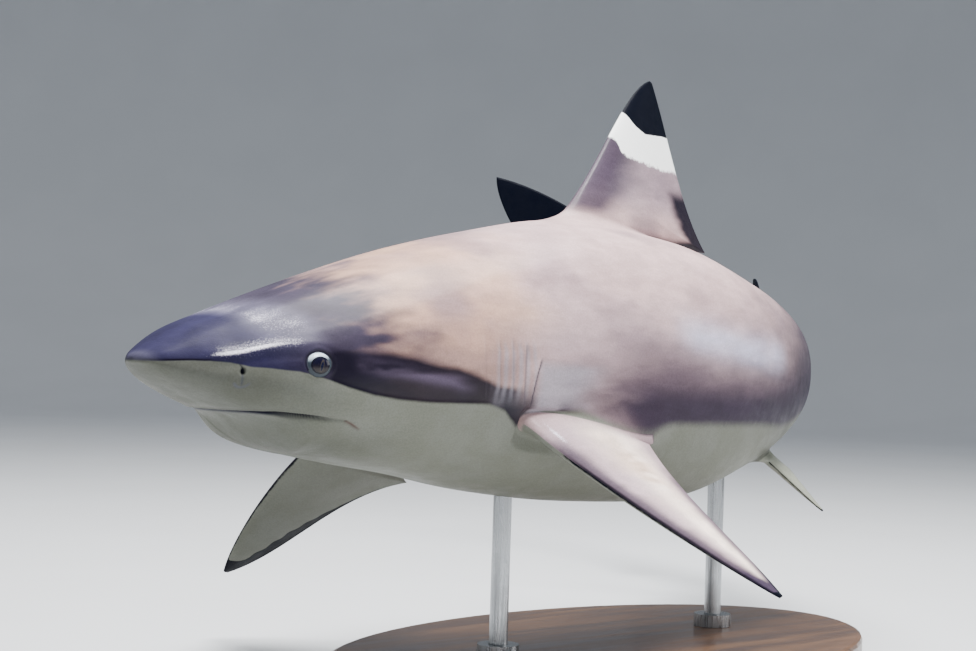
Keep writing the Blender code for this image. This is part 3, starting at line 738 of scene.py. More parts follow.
def mouthLine():  # points of the mouth's edge on the skin, from one corner round to the other
    ahead = np.linspace(0.04, 0.075, 700)
    front = np.interp(-mouth["level"], bodySizes(ahead)[:, 1], ahead)
    at = front + (mouth["corner"] - front) * np.linspace(0, 1, 400) ** 2
    _, belly, half = bodySizes(at).T
    widest, lower = sectionShape(at)
    share = np.clip((widest - mouthLevel(at)) / (belly + widest), 0, 1)
    left = half * (1 - share ** lower) ** (1 / lower)
    at, left = np.concatenate([at[::-1], at]), np.concatenate([-left[::-1], left])
    return at, onBody(at, left, mouthLevel(at))


def nearestOn(line, where):  # the nearest of a line's points to each place, with how far it is
    away, index = np.empty(len(where)), np.empty(len(where), int)
    for k in range(0, len(where), chunk):
        apart = ((where[k:k + chunk, None] - line[None]) ** 2).sum(-1)
        index[k:k + chunk] = apart.argmin(1)
        away[k:k + chunk] = np.sqrt(apart.min(1))
    return away * 1000, index


# Besides the relief, how far the lower jaw drops and stands back, and the painted shade in the slit
# under the upper lip.
def mouthRelief():
    at, line = mouthLine()
    near = np.flatnonzero(onTrunk & (station > 0.045) & (station < 0.125) & (upOf < -0.010))
    away, index = nearestOn(line, points[near])
    here, mine = at[index], station[near]
    level = (upOf[near] - mouthLevel(mine)) * millimetres
    below = level <= 0
    strength = 0.22 + 0.78 * (1 - smoothStep(0.074, 0.096, here))
    strength *= 1 - smoothStep(mouth["corner"], mouth["corner"] + 0.003, mine)
    out, drop, back, dark = np.zeros((4, len(points)))
    slit = mouth["depth"] / (1 + (away / mouth["width"]) ** 4)
    lips = (mouth["upperLip"] * ~below * bump(away, 2.4, 1.4)
            - mouth["lowerLip"] * below * np.exp(-away / 3))
    out[near] = strength * (lips - slit)
    jaw = below * away / mouth["jawReach"] * np.exp(1 - away / mouth["jawReach"])
    jaw *= (1 - smoothStep(0.072, 0.104, here)) * smoothStep(0.058, 0.090, mine)
    drop[near] = mouth["jawDrop"] * jaw
    chin = below * (1 - bump(away, 0, 5.5)) * bump(away, 0, 36)
    back[near] = mouth["jawBack"] * chin * (1 - smoothStep(0.057, 0.082, here))
    # painted shade in the slit and in the gap at the front of the jaw
    gap = between(-level, -0.4, 0.3, 1.0, 2.5) * (away < 14) * (1 - smoothStep(0.064, 0.084, mine))
    dark[near] = strength * np.maximum(np.clip(1.25 / (1 + (away / 1.2) ** 6), 0, 1), gap)
    return out, drop, back, dark


def furrowRelief():
    curve = cubic(mouth["furrow"], np.linspace(0, 1, 80))
    around = onTrunk & (station > 0.094) & (station < 0.118) & (upOf < -0.02) & (upOf > -0.045)
    near = np.flatnonzero(around)
    away, index = nearestOn(curve * bodyLength, np.column_stack([station, upOf])[near] * bodyLength)
    fade = np.sin(math.pi * np.clip(0.12 + index / 79, 0, 1)) ** 0.6
    out, dark = np.zeros((2, len(points)))
    out[near] = -0.8 * fade * bump(away, 0, 0.9)
    dark[near] = fade * bump(away, 0, 0.75)
    return out, dark


def nostrilRelief():  # besides the relief, how dark and how pale it is
    across = (station - nostril["station"]) * millimetres
    high = (upOf - nostril["up"]) * millimetres
    on = onTrunk & (station < 0.06)
    oval = np.hypot(across / nostril["half"][0], high / nostril["half"][1])
    pit = 1 - smoothStep(0.55, 1.3, oval)
    # a groove and an arc of folded skin below the opening, and a cut above it
    groove = between(high, -10.5, -8.5, -3, -1.5) * bump(across, -0.15 * (high + 3), 0.75)
    arc = bump(np.hypot(across - 1.0, high + 6.2), 5.0, 0.8) * smoothStep(7.0, 9.0, -high)
    upper = between(high, 1.5, 3.0, 4.5, 6.0) * bump(across, -0.6 * (high - 2), 0.7)
    out = 0.3 * bump(oval, 1.7, 0.4) - nostril["depth"] * pit
    out -= 0.55 * groove + 0.35 * arc + 0.5 * upper
    dark = np.clip(1.3 * (1 - smoothStep(0.5, 1.25, oval)) + 0.75 * upper + 0.3 * groove, 0, 1)
    return out * on, dark * on, (0.5 * arc + 0.4 * groove) * on


def gillRelief():
    out, dark = np.zeros((2, len(points)))
    on = onTrunk & (station > 0.15) & (station < 0.25)
    for (top, bottom, high, low), strong in zip(gills["slits"], gills["strength"]):
        along = (upOf - low) / (high - low)
        bow = 0.0012 * np.sin(math.pi * np.clip(along, 0, 1))
        behind = (station - (bottom + (top - bottom) * along) + bow) * millimetres
        fade = between(along, -0.06, 0.14, 0.84, 1.06)
        step = smoothStep(-0.7, 0.7, behind)
        out += fade * strong * (gills["rise"] * np.exp(np.minimum(behind, 0) / 5) * (1 - step)
                                - gills["drop"] * np.exp(-np.maximum(behind, 0) / 2.4) * step)
        dark = np.maximum(dark, fade * strong ** 2 * bump(behind, 0.7, 1.2))
    return out * on, dark * on


def ridgeRelief():
    on = onTrunk * between(station, 0.022, 0.040, 0.072, 0.100)
    level = upOf - alongRows(ridge["crest"], station)
    crest = ridge["height"] * bump(level, 0, ridge["width"])
    hollow = ridge["hollow"] * bump(level, -ridge["below"], ridge["width"])
    return on * (crest - hollow)


def eyeFrame(name):  # middle of the eyeball, and unit vectors out of the head, back and up
    low, high = (np.array(corner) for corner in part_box(name))
    middle = (low + high) / 2
    near = points[np.argmin(((points - middle) ** 2).sum(1) + 10.0 * ~onTrunk)]
    out = normals[((points - near) ** 2).sum(1) < 0.012 ** 2].sum(0)
    out /= np.linalg.norm(out)
    up = np.array((0, 0, 1.0)) - out * out[2]
    up /= np.linalg.norm(up)
    return {"middle": middle, "out": out, "up": up, "back": np.cross(up, out)}


# Points round an eye move to ovals about it, and then in or out. Besides the relief, how far each
# point is from the eye's middle, and how far above it.
def eyeSocket(frameOf):
    off = points - frameOf["middle"] - frameOf["up"] * eye["lift"] / 1000
    level = off @ frameOf["out"]
    flat = off - level[:, None] * frameOf["out"]
    above = flat @ frameOf["up"] * 1000
    away = np.hypot(flat @ frameOf["back"] * 1000, eye["flatter"] * above)
    near = onTrunk & (away < eye["reach"]) & (np.abs(level) < 0.03)
    ring = eye["stepRing"]
    first = eye["opening"] - ring
    stepped = first + ring * np.clip(np.round((away - first) / ring), 0, 3)
    inRange = near & (away > first - ring / 2) & (away < first + 3.5 * ring)
    moved = np.where(inRange, stepped, away)
    points[:] += flat * (inRange * (moved / np.maximum(away, 1e-6) - 1))[:, None]
    lid = eye["opening"] + eye["lidWidth"] / 2
    out = -eye["socketDepth"] * (1 - smoothStep(eye["opening"] - ring, eye["opening"] + 0.05, moved))
    out += eye["lidHeight"] * bump(moved, lid, 0.75) - 0.4 * bump(moved, lid + 1.5, 0.5)
    out += 0.5 * bump(moved, lid + 3.2, 1.6)
    return out * near, np.where(near, moved, farAway), above * near


eyeFrames = {name: eyeFrame(name) for name in ("eye_left", "eye_right")}
relief = ridgeRelief()
mouthOut, jawDrop, jawBack, mouthShadow = mouthRelief()
furrowOut, furrowDark = furrowRelief()
nostrilOut, nostrilDark, nostrilPale = nostrilRelief()
gillOut, gillDark = gillRelief()
relief += mouthOut + furrowOut + nostrilOut + gillOut
eyeAway, eyeAbove = np.full(len(points), farAway), np.zeros(len(points))
for frameOf in eyeFrames.values():
    socketOut, away, above = eyeSocket(frameOf)
    relief += socketOut
    eyeAway = np.minimum(eyeAway, away)
    eyeAbove += above
points += normals * (relief / 1000)[:, None]
points[:, 2] -= jawDrop / 1000
points += waysAt(0.06)[0] * (jawBack / 1000)[:, None]
lowest, highest = (np.array(corner) for corner in sizeAtStart)
points = np.clip(points, lowest + 0.00002, highest - 0.00002)  # nothing stands out of the solids' box
print("relief of the head added")

# The markings are laid over the skin as fields, one value for each point. Stations and levels are
# shares of the length, and what is measured from a margin or from the pale line is millimetres.

colours = {
    "snout": (0.0180, 0.0160, 0.043),
    "forehead": (0.032, 0.025, 0.043),
    "nape": (0.38, 0.230, 0.180),
    "back": (0.48, 0.335, 0.325),
    "side": (0.40, 0.30, 0.335),
    "warm": (0.55, 0.335, 0.225),
    # painted shade: dark dapples, as cast by rippling light
    "dappledShade": (0.19, 0.135, 0.155),
    "tail": (0.056, 0.045, 0.058),
    "band": (0.0055, 0.004, 0.011),
    "streak": (0.078, 0.058, 0.092),
    "flank": (0.025, 0.0170, 0.034),
    # painted highlight: a pale lavender sheen laid into the colour
    "paintedSheen": (0.52, 0.50, 0.64),
    "patch": (0.29, 0.27, 0.31),
    "finGrey": (0.046, 0.033, 0.054),
    # partly the paler middle of a paired fin, partly a painted highlight along it
    "finMiddleAndHighlight": (0.96, 0.80, 0.70),
    "tan": (0.44, 0.29, 0.215),
    # the underside's colour, grey rather than its real white: painted shade
    "pale": (0.190, 0.196, 0.166),
    "paleBlotch": (0.171, 0.1764, 0.14276),
    # painted glints of light sparkling on wet skin
    "paintedGlint": (0.86, 0.82, 0.92),
    "black": (0.0012, 0.002, 0.006),
    "white": (0.97, 0.98, 0.96),
    "gill": (0.045, 0.035, 0.05),
    "furrow": (0.085, 0.050, 0.045),
    "fold": (0.085, 0.09, 0.125),
    "lidDark": (0.006, 0.005, 0.010),
    "lid": (0.045, 0.055, 0.065),
    # the slit of the mouth, in painted shade under the upper lip, and the dark of the nostrils
    "slit": (0.006, 0.006, 0.014),
}
markings = {
    # station, and the level of the line between the dark back and the pale underside
    "line": ((0.0, -0.0004), (0.0107, -0.0005), (0.0207, 0.0002), (0.0282, 0.0002), (0.0362, -0.0002),
             (0.0416, -0.0012), (0.0457, -0.0021), (0.0540, -0.0025), (0.0612, -0.0032),
             (0.0686, -0.0038), (0.0780, -0.0058), (0.0871, -0.0086), (0.0957, -0.0114),
             (0.1107, -0.0150), (0.1261, -0.0171), (0.1447, -0.0184), (0.1850, -0.0190),
             (0.1974, -0.0225), (0.2083, -0.0305), (0.2180, -0.0345), (0.2330, -0.0260),
             (0.2560, -0.0225), (0.2726, -0.0276), (0.3049, -0.0296), (0.3753, -0.0308),
             (0.4244, -0.0320), (0.4700, -0.0340), (0.540, -0.0260), (0.620, -0.0170),
             (0.745, -0.0060), (1.0, -0.0060)),
    # station, and half the width of that line's soft edge in millimetres
    "soft": ((0.0, 0.5), (0.08, 0.8), (0.11, 1.4), (0.17, 1.4), (0.20, 2.5), (0.25, 4.0), (0.30, 5.0),
             (1.0, 7.0)),
    # station, and the top of the dark band behind the eye
    "bandTop": ((0.086, 0.0066), (0.1005, 0.0058), (0.1176, 0.0062), (0.1356, 0.0046),
                (0.1544, 0.0008), (0.1748, -0.0035), (0.190, -0.0086), (0.205, -0.0110)),
    # station, and the top of the dark part of the flank
    "flankTop": ((0.24, 0.0040), (0.262, 0.0100), (0.300, 0.0140), (0.334, 0.0110), (0.369, 0.0044),
                 (0.414, -0.0013), (0.455, -0.0038), (0.54, -0.004), (0.70, -0.002)),
    # station, and the level of the painted shadow in the crease behind the pectoral fin
    "armpitShadow": ((0.236, -0.0225), (0.246, -0.0240), (0.256, -0.0275), (0.266, -0.0325)),
    # how far back on the first dorsal fin, and how far out its black tip and its white patch start
    "dorsalBlack": ((0.060, 0.0860), (0.067, 0.0800), (0.075, 0.0725), (0.084, 0.0695),
                    (0.092, 0.0705), (0.105, 0.0725)),
    "dorsalWhite": ((0.045, 0.0640), (0.055, 0.0600), (0.058, 0.0520), (0.066, 0.0500),
                    (0.092, 0.0490), (0.112, 0.0500)),
}
zones = {  # stations where a mark starts, is full, starts to fade and ends
    "crest": (0.022, 0.036, 0.066, 0.084),
    "brow": (0.046, 0.060, 0.070, 0.088),
    "belowCrestShade": (0.040, 0.056, 0.082, 0.090),
    "band": (0.082, 0.087, 0.198, 0.224),
    "streak": (0.096, 0.108, 0.160, 0.178),
    "flapHighlights": (0.182, 0.192, 0.216, 0.224),
    "blotch": (0.188, 0.198, 0.216, 0.230),
    "behindGills": (0.216, 0.226, 0.245, 0.280),
    "flank": (0.226, 0.312, 0.58, 0.70),
    "flankSheen": (0.325, 0.355, 0.435, 0.465),
    "armpitShadow": (0.236, 0.244, 0.258, 0.268),
}


def evenNoise(where, seed):  # smooth noise from 0 to 1
    low = np.floor(where)
    part = where - low
    part = part * part * (3 - 2 * part)
    total = np.zeros(len(where))
    for corner in range(8):
        step = np.array([corner & 1, corner >> 1 & 1, corner >> 2 & 1])
        hashed = np.sin((low + step) @ np.array((127.1, 311.7, 74.7)) + seed) * 43758.5453
        weight = np.prod(np.where(step, part, 1 - part), 1)
        total += (hashed - np.floor(hashed)) * weight
    return total


def wander(where, seed):  # three layers of that noise, about 0
    return sum(evenNoise(where * 2 ** k, seed + k) / 2 ** k for k in range(3)) / 1.75 - 0.5


def bodyPlacesOf(where):  # (station, left, up) of any points near the body
    line = (spinePlaces + spineShift)[::4]
    result = np.empty((len(where), 3))
    for k in range(0, len(where), chunk):
        part = where[k:k + chunk]
        nearest = ((part[:, None, :2] - line[None, :, :2]) ** 2).sum(-1).argmin(1) * 4
        off = (part - (spinePlaces + spineShift)[nearest]) / bodyLength
        angle = headings[nearest]
        behind = tableAt[nearest] + off[:, 0] * np.cos(angle) + off[:, 1] * np.sin(angle)
        left = off[:, 0] * np.sin(angle) - off[:, 1] * np.cos(angle)
        result[k:k + chunk] = np.column_stack([behind, left, off[:, 2]])
    return result


place = places[:, :3].copy()
place[~onTrunk] = bodyPlacesOf(points[~onTrunk])
at, _, high = place.T
wisps = wander(place * millimetres / (42, 10, 10), seed=3)  # they run along the body
clouds = wander(place * millimetres / (60, 45, 45), seed=9)
aboveLine = (high - alongRows(markings["line"], at)) * millimetres
aboveCrest = high - alongRows(ridge["crest"], at)

# "tone" is the upper colour, "shade" the millimetres above the pale underside's edge over its
# softness, "tip" and "white" the millimetres into a black tip and into the white patch, "gloss"
# how wet the skin looks, the glint field how much painted highlight glints on it, and "paleness"
# how light the underside is, lowered there by painted shade under the snout and the head.
tone = np.tile(np.array(colours["snout"]), (len(points), 1))
shade = aboveLine / alongRows(markings["soft"], at)
tip, white = np.full((2, len(points)), -30.0)
gloss, paintedGlint = np.zeros((2, len(points)))
# painted shade: the pale underside darker under the snout and the head; it is also darker towards the
# tail
paleness = 1 - 0.50 * (1 - smoothStep(0.04, 0.12, at))
paleness *= 1 - 0.36 * smoothStep(0.024, 0.045, -high) * (1 - smoothStep(0.10, 0.17, at))
paleness *= 1 - 0.4 * smoothStep(0.42, 0.50, at) * onTrunk


def blend(name, amount, where=slice(None)):
    amount = np.reshape(np.clip(amount, 0, 1), (-1, 1))
    tone[where] += (np.array(colours[name]) - tone[where]) * amount


def zone(name, fore=0.0, aft=0.0):  # 1 along a zone of the trunk, whose ends wander as given
    start, full, fade, end = zones[name]
    return smoothStep(start, full, at + fore) * (1 - smoothStep(fade, end, at + aft)) * onTrunk


def paintBack():
    blend("forehead", smoothStep(0.050, 0.090, at + 0.02 * clouds))
    blend("nape", smoothStep(0.100, 0.156, at + 0.06 * wisps + 0.03 * clouds))
    blend("side", 0.75 * smoothStep(0.165, 0.25, at + 0.05 * clouds))
    blend("back", 0.8 * smoothStep(0.2, 0.3, at) * smoothStep(0.010, 0.055, high + 0.03 * clouds))
    warm = between(at, 0.105, 0.135, 0.19, 0.26) * smoothStep(0.012, 0.030, high)
    blend("warm", 0.9 * np.clip(0.3 + 3 * clouds, 0, 1) * warm)
    # painted shade in dark dapples, and a patch of it on top of the nape
    blend("dappledShade", 0.55 * np.clip(-0.1 - 4.8 * clouds, 0, 1) * smoothStep(0.10, 0.14, at))
    saddle = bump(at, 0.166, 0.020) * bump(high, 0.046, 0.016) * onTrunk
    blend("dappledShade", 0.5 * saddle * (1 + 0.8 * wisps))
    blend("tail", smoothStep(0.35, 0.53, at - 0.9 * np.maximum(high - 0.005, 0) + 0.04 * wisps))
    tone[:] *= 1 + 0.5 * (wisps * (1 - smoothStep(0.09, 0.15, at)))[:, None]


def paintSnout():
    # painted highlight: a glinting streak along the snout's crest, and glints with a painted sheen on
    # the brow
    crestHighlight = 0.84 * bump(aboveCrest, 0.0002, 0.0014) * (1 - 0.4 * smoothStep(0.052, 0.068, at))
    paintedGlint[:] = zone("crest") * np.maximum(crestHighlight, 0.48 * bump(aboveCrest, 0.0014, 0.0045))
    brow = zone("brow") * bump(high, 0.0215, 0.0095)
    paintedGlint[:] = np.maximum(paintedGlint, 0.46 * brow * (1 + wisps))
    blend("paintedSheen", 0.16 * brow * (1 + 1.2 * wisps))
    # painted shade below the crest of the snout
    blend("band", 0.24 * zone("belowCrestShade") * (1 - smoothStep(-0.0072, -0.0022, aboveCrest)))
    rim = (1 - smoothStep(0.026, 0.036, at)) * bump(aboveLine, 0.7, 0.9) * onTrunk
    blend("band", 0.9 * rim * (1 + wisps))
    # painted highlight on the tip of the snout
    blend("paintedSheen", 0.10 * (1 - smoothStep(0.005, 0.012, at)) * onTrunk)


def paintBand():  # the dark band from the eye to the gills, and the patches that end it
    below = high - alongRows(markings["bandTop"], at) - 0.005 * wisps
    blend("band", 0.97 * zone("band") * (1 - smoothStep(-0.0022, 0.0026, below)))
    streak = zone("streak") * bump(high, 0.0004 - 0.13 * (at - 0.1016) + 0.004 * clouds, 0.0034)
    blend("streak", 0.97 * streak * np.clip(0.9 + 3.4 * wisps, 0, 1))
    # painted highlights: pale stripes across the gills where their flaps stand out
    flapHighlights = 0.5 + 0.5 * np.sin(at * 1100 + 1.5 + 3 * wisps) * smoothStep(-0.022, -0.005, high)
    blend("patch", 0.55 * zone("flapHighlights") * (1 - smoothStep(0.008, 0.018, high)) * flapHighlights)
    blend("band", 0.9 * zone("blotch") * (1 - smoothStep(-0.021, -0.009, high + 0.007 * wisps)))
    behind = zone("behindGills", aft=0.03 * wisps)
    blend("patch", 0.8 * behind * (1 - smoothStep(-0.004, 0.009, high + 0.008 * wisps)))


def paintFlank():
    flank = zone("flank", fore=0.04 * wisps)
    top = alongRows(markings["flankTop"], at)
    # painted highlight: a band of sheen along the top of the dark flank
    paintedSheen = zone("flankSheen") * bump(high, top + 0.0140, 0.0095)
    blend("paintedSheen", 0.85 * paintedSheen * (0.95 + 0.8 * wisps))
    below = top + 0.010 * wisps + 0.016 - high  # from the top of the dark part's soft edge
    depth = below / (below + aboveLine / millimetres - 0.010)
    blend("flank", 0.97 * flank * smoothStep(0, 1, depth) ** 0.9)
    # painted shade: a dark crease behind the pectoral fin and a softer shadow round it
    creaseShadow = alongRows(markings["armpitShadow"], at)
    blend("band", 0.7 * zone("armpitShadow") * bump(high, creaseShadow, 0.0011))
    blend("flank", 0.7 * zone("armpitShadow") * bump(high, creaseShadow, 0.0045))
    gloss[:] = 0.30 * zone("crest") * bump(aboveCrest, 0.0004, 0.0022)
    gloss[:] += 0.22 * smoothStep(1.0, 4.0, aboveLine) * (1 - 0.7 * flank)
    gloss[:] *= 0.2 + 0.8 * smoothStep(0.06, 0.11, at)


def paintFirstDorsal(mine):
    back, out, _, lead, rear = places[mine].T
    tip[mine] = (out - alongRows(markings["dorsalBlack"], back)) * millimetres
    white[mine] = (out - alongRows(markings["dorsalWhite"], back)) * millimetres
    blend("side", 0.75 * smoothStep(0.010, 0.030, out), mine)
    blend("finGrey", 0.45 * smoothStep(0.014, 0.040, out + 0.02 * wisps[mine]), mine)
    front = 1 - smoothStep(20, 62, lead * millimetres + 22 * wisps[mine])
    blend("finGrey", 0.92 * smoothStep(0.002, 0.014, out) * front, mine)
    dark = between(out, -0.006, 0.000, 0.030, 0.042)
    dark *= 1 - smoothStep(24, 50, rear * millimetres + 18 * wisps[mine])
    blend("band", 0.98 * dark * smoothStep(0.06, 0.09, back), mine)


def paintPairedFin(mine, fin, pelvic):
    _, out, across, lead, rear = places[mine].T
    lead, rear = lead * millimetres, rear * millimetres
    share = out / fin["tip"][1]
    grain = wisps[mine]
    onTop = np.clip(0.5 + fin["side"] * across / 0.0002, 0, 1)
    beyond = smoothStep(0.006, 0.020, out)
    shade[mine] += (24.0 * onTop * (0.35 if pelvic else 1) - 12.0 - shade[mine]) * beyond
    paleness[mine] *= 1.6 if pelvic else 1 - 0.22 * smoothStep(0.3, 0.8, share)
    # the black margin, which is wider and wavy on the underside
    started = smoothStep(0.10, 0.22, share)
    under = 1.8 * started + 13.0 * smoothStep(0.25, 0.72, share) * (1.1 + 0.1 * np.sin(share * 70))
    under = np.maximum(under + 30 * smoothStep(0.90, 1.0, share) - rear, 0.5 * started - lead)
    over = 4.0 * smoothStep(0.72, 0.98, share) - 0.4 - rear
    end = (out - 0.975 * fin["tip"][1]) * millimetres
    tip[mine] = np.maximum(np.where(onTop > 0.5, over, under), end) - 8 * (1 - started)
    # the colours between the margins
    middle = rear / (rear + lead + 1e-6)
    blend("side", 0.7 * beyond, mine)
    # the fin's paler middle, with a painted highlight along it
    blend("finMiddleAndHighlight", 1.1 * beyond * bump(middle, 0.46, 0.24) * (1 + 0.8 * grain), mine)
    tan = bump(middle, 0.50, 0.24) * bump(share, 0.32, 0.20)
    blend("tan", 0.80 * tan * np.clip(0.9 + 4 * grain, 0, 1), mine)
    rearBand = 0.75 * bump(rear, 0, 12 + 12 * grain) * smoothStep(0.22, 0.38, share)
    frontBand = 0.85 * bump(lead, 2, 8 - 3.5 * share + 6 * grain) * started * (0.35 + 0.65 * onTop)
    blend("finGrey", (rearBand + frontBand + 0.4 * smoothStep(0.82, 0.98, share)) * beyond, mine)
    blend("band", 0.9 * smoothStep(0.18, 0.32, share) * bump(lead, 0, 0.35 + share), mine)
    # painted glint near the root of the leading edge
    paintedGlint[mine] = 0.75 * bump(lead, 8.0, 3.0) * bump(share, 0.13, 0.06) * (not pelvic)


def paintTailFin():
    behind = at - body["stalkEnd"]
    tail = onTrunk & (behind > 0)
    upperLobe = behind - 0.150 + 0.6 * (high - 0.112) + 0.010 * wisps
    lowerLobe = -high - 0.062 + 0.25 * (behind - 0.06) + 0.010 * wisps
    black = np.maximum(upperLobe, lowerLobe)
    tip[tail] = black[tail] * millimetres
    blend("band", 0.6 * smoothStep(-0.045, 0.0, black) * tail)
    shade[tail] = np.maximum(shade, 3.0 * smoothStep(0.02, 0.05, behind))[tail]
    gloss[tail] = 0


paintBack()
paintSnout()
paintBand()
paintFlank()
for number, (name, fin) in enumerate(fins.items()):
    mine = np.flatnonzero(finOf == number)
    if name == "dorsalFirst":
        paintFirstDorsal(mine)
    elif "upright" in fin:
        tip[mine] = (places[mine, 1] - 0.55 * fin["tip"][1]) * millimetres
        blend("tail", 0.8, mine)
    else:
        paintPairedFin(mine, fin, name.startswith("pelvic"))
paintTailFin()
gloss *= 1 - smoothStep(-1.0, 1.0, tip)
print("markings laid out")

mesh = bpy.data.meshes.new("skin")
mesh.from_pydata(points.tolist(), [], quads.tolist() + tris.tolist())
shark = bpy.data.objects.new("skin", mesh)
bpy.context.scene.collection.objects.link(shark)


def giveField(name, values):
    isColour = values.ndim == 2
    field = mesh.attributes.new(name, "FLOAT_COLOR" if isColour else "FLOAT", "POINT")
    if isColour:
        field.data.foreach_set("color", np.column_stack([values, np.ones(len(values))]).ravel())
    else:
        field.data.foreach_set("value", values.astype(np.float32))


lidAmount = 1 - smoothStep(eye["opening"] + 0.35, eye["opening"] + 0.9, eyeAway)
lidDark = bump(eyeAway, eye["opening"] + 1.5, 0.7) * (0.55 + 0.45 * smoothStep(-4, 6, eyeAbove))
fields = {"tone": tone, "shade": shade, "tip": tip, "white": white, "gloss": gloss, "paintedGlint": paintedGlint,
          "paleness": paleness, "slit": np.maximum(mouthShadow, nostrilDark), "furrow": furrowDark,
          "gill": gillDark, "fold": nostrilPale, "lid": lidAmount, "lidDark": lidDark}
for name, values in fields.items():
    giveField(name, values)
work = bmesh.new()
work.from_mesh(mesh)
bmesh.ops.delete(work, geom=[v for v in work.verts if not v.link_faces], context="VERTS")
bmesh.ops.recalc_face_normals(work, faces=work.faces)
print("edges not shared by two faces", sum(not e.is_manifold for e in work.edges))
work.to_mesh(mesh)
work.free()
mesh.shade_smooth()
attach(shark, "root")
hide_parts("head", "lower_jaw", "gill_region", "trunk_front", "trunk_rear", "tail_front",
            "tail_stalk", "tail_fin_upper", "tail_fin_lower", "dorsal_fin_first",
            "dorsal_fin_second", "anal_fin", "pectoral_fin_left", "pectoral_fin_right",
            "pelvic_fin_left", "pelvic_fin_right")


def startMaterial(name):
    material = bpy.data.materials.new(name)
    material.use_nodes = True
    return material, material.node_tree, material.node_tree.nodes["Principled BSDF"]


def put(tree, kind, inputs=None, **settings):
    made = tree.nodes.new("ShaderNode" + kind)
    for name, value in settings.items():
        setattr(made, name, value)
    for name, value in (inputs or {}).items():
        if isinstance(value, bpy.types.NodeSocket):
            tree.links.new(value, made.inputs[name])
        else:
            made.inputs[name].default_value = value
    return made


def attribute(tree, name, output="Fac"):
    return put(tree, "Attribute", attribute_name=name).outputs[output]


def sums(tree, operation, a, b=0.0):
    return put(tree, "Math", {0: a, 1: b}, operation=operation).outputs[0]


def plus(tree, a, b):
    return sums(tree, "ADD", a, b)


def minus(tree, a, b):
    return sums(tree, "SUBTRACT", a, b)


def times(tree, a, b):
    return sums(tree, "MULTIPLY", a, b)


def ovalDistance(tree, a, b):
    return sums(tree, "SQRT", plus(tree, times(tree, a, a), times(tree, b, b)))


def mixed(tree, amount, a, b, blend="MIX"):
    return put(tree, "Mix", {0: amount, 6: a, 7: b}, data_type="RGBA", blend_type=blend).outputs[2]


def shaded(tree, colour, factor):  # a colour times a number
    grey = put(tree, "CombineColor", {0: factor, 1: factor, 2: factor}).outputs[0]
    return mixed(tree, 1.0, colour, grey, "MULTIPLY")


def mapped(tree, value, low, high, toLow=0.0, toHigh=1.0):
    return put(tree, "MapRange", {0: value, 1: low, 2: high, 3: toLow, 4: toHigh},
               interpolation_type="SMOOTHSTEP").outputs[0]


def noise(tree, where, scale, detail=3.0, rough=0.5):
    return put(tree, "TexNoise", {"Vector": where, "Scale": scale, "Detail": detail,
                                  "Roughness": rough}, noise_type="FBM").outputs[0]


def rgba(colour):
    return (*colour, 1)


skinFinish = {
    "roughness": (0.42, 0.56),
    "mottle": 0.07,
    "specular": 0.05,
    "coatRoughness": 0.20,
    # scale and strength, and depth in metres
    "pores": (1300, 0.35, 0.0004), "swells": (75, 0.25, 0.002),
}


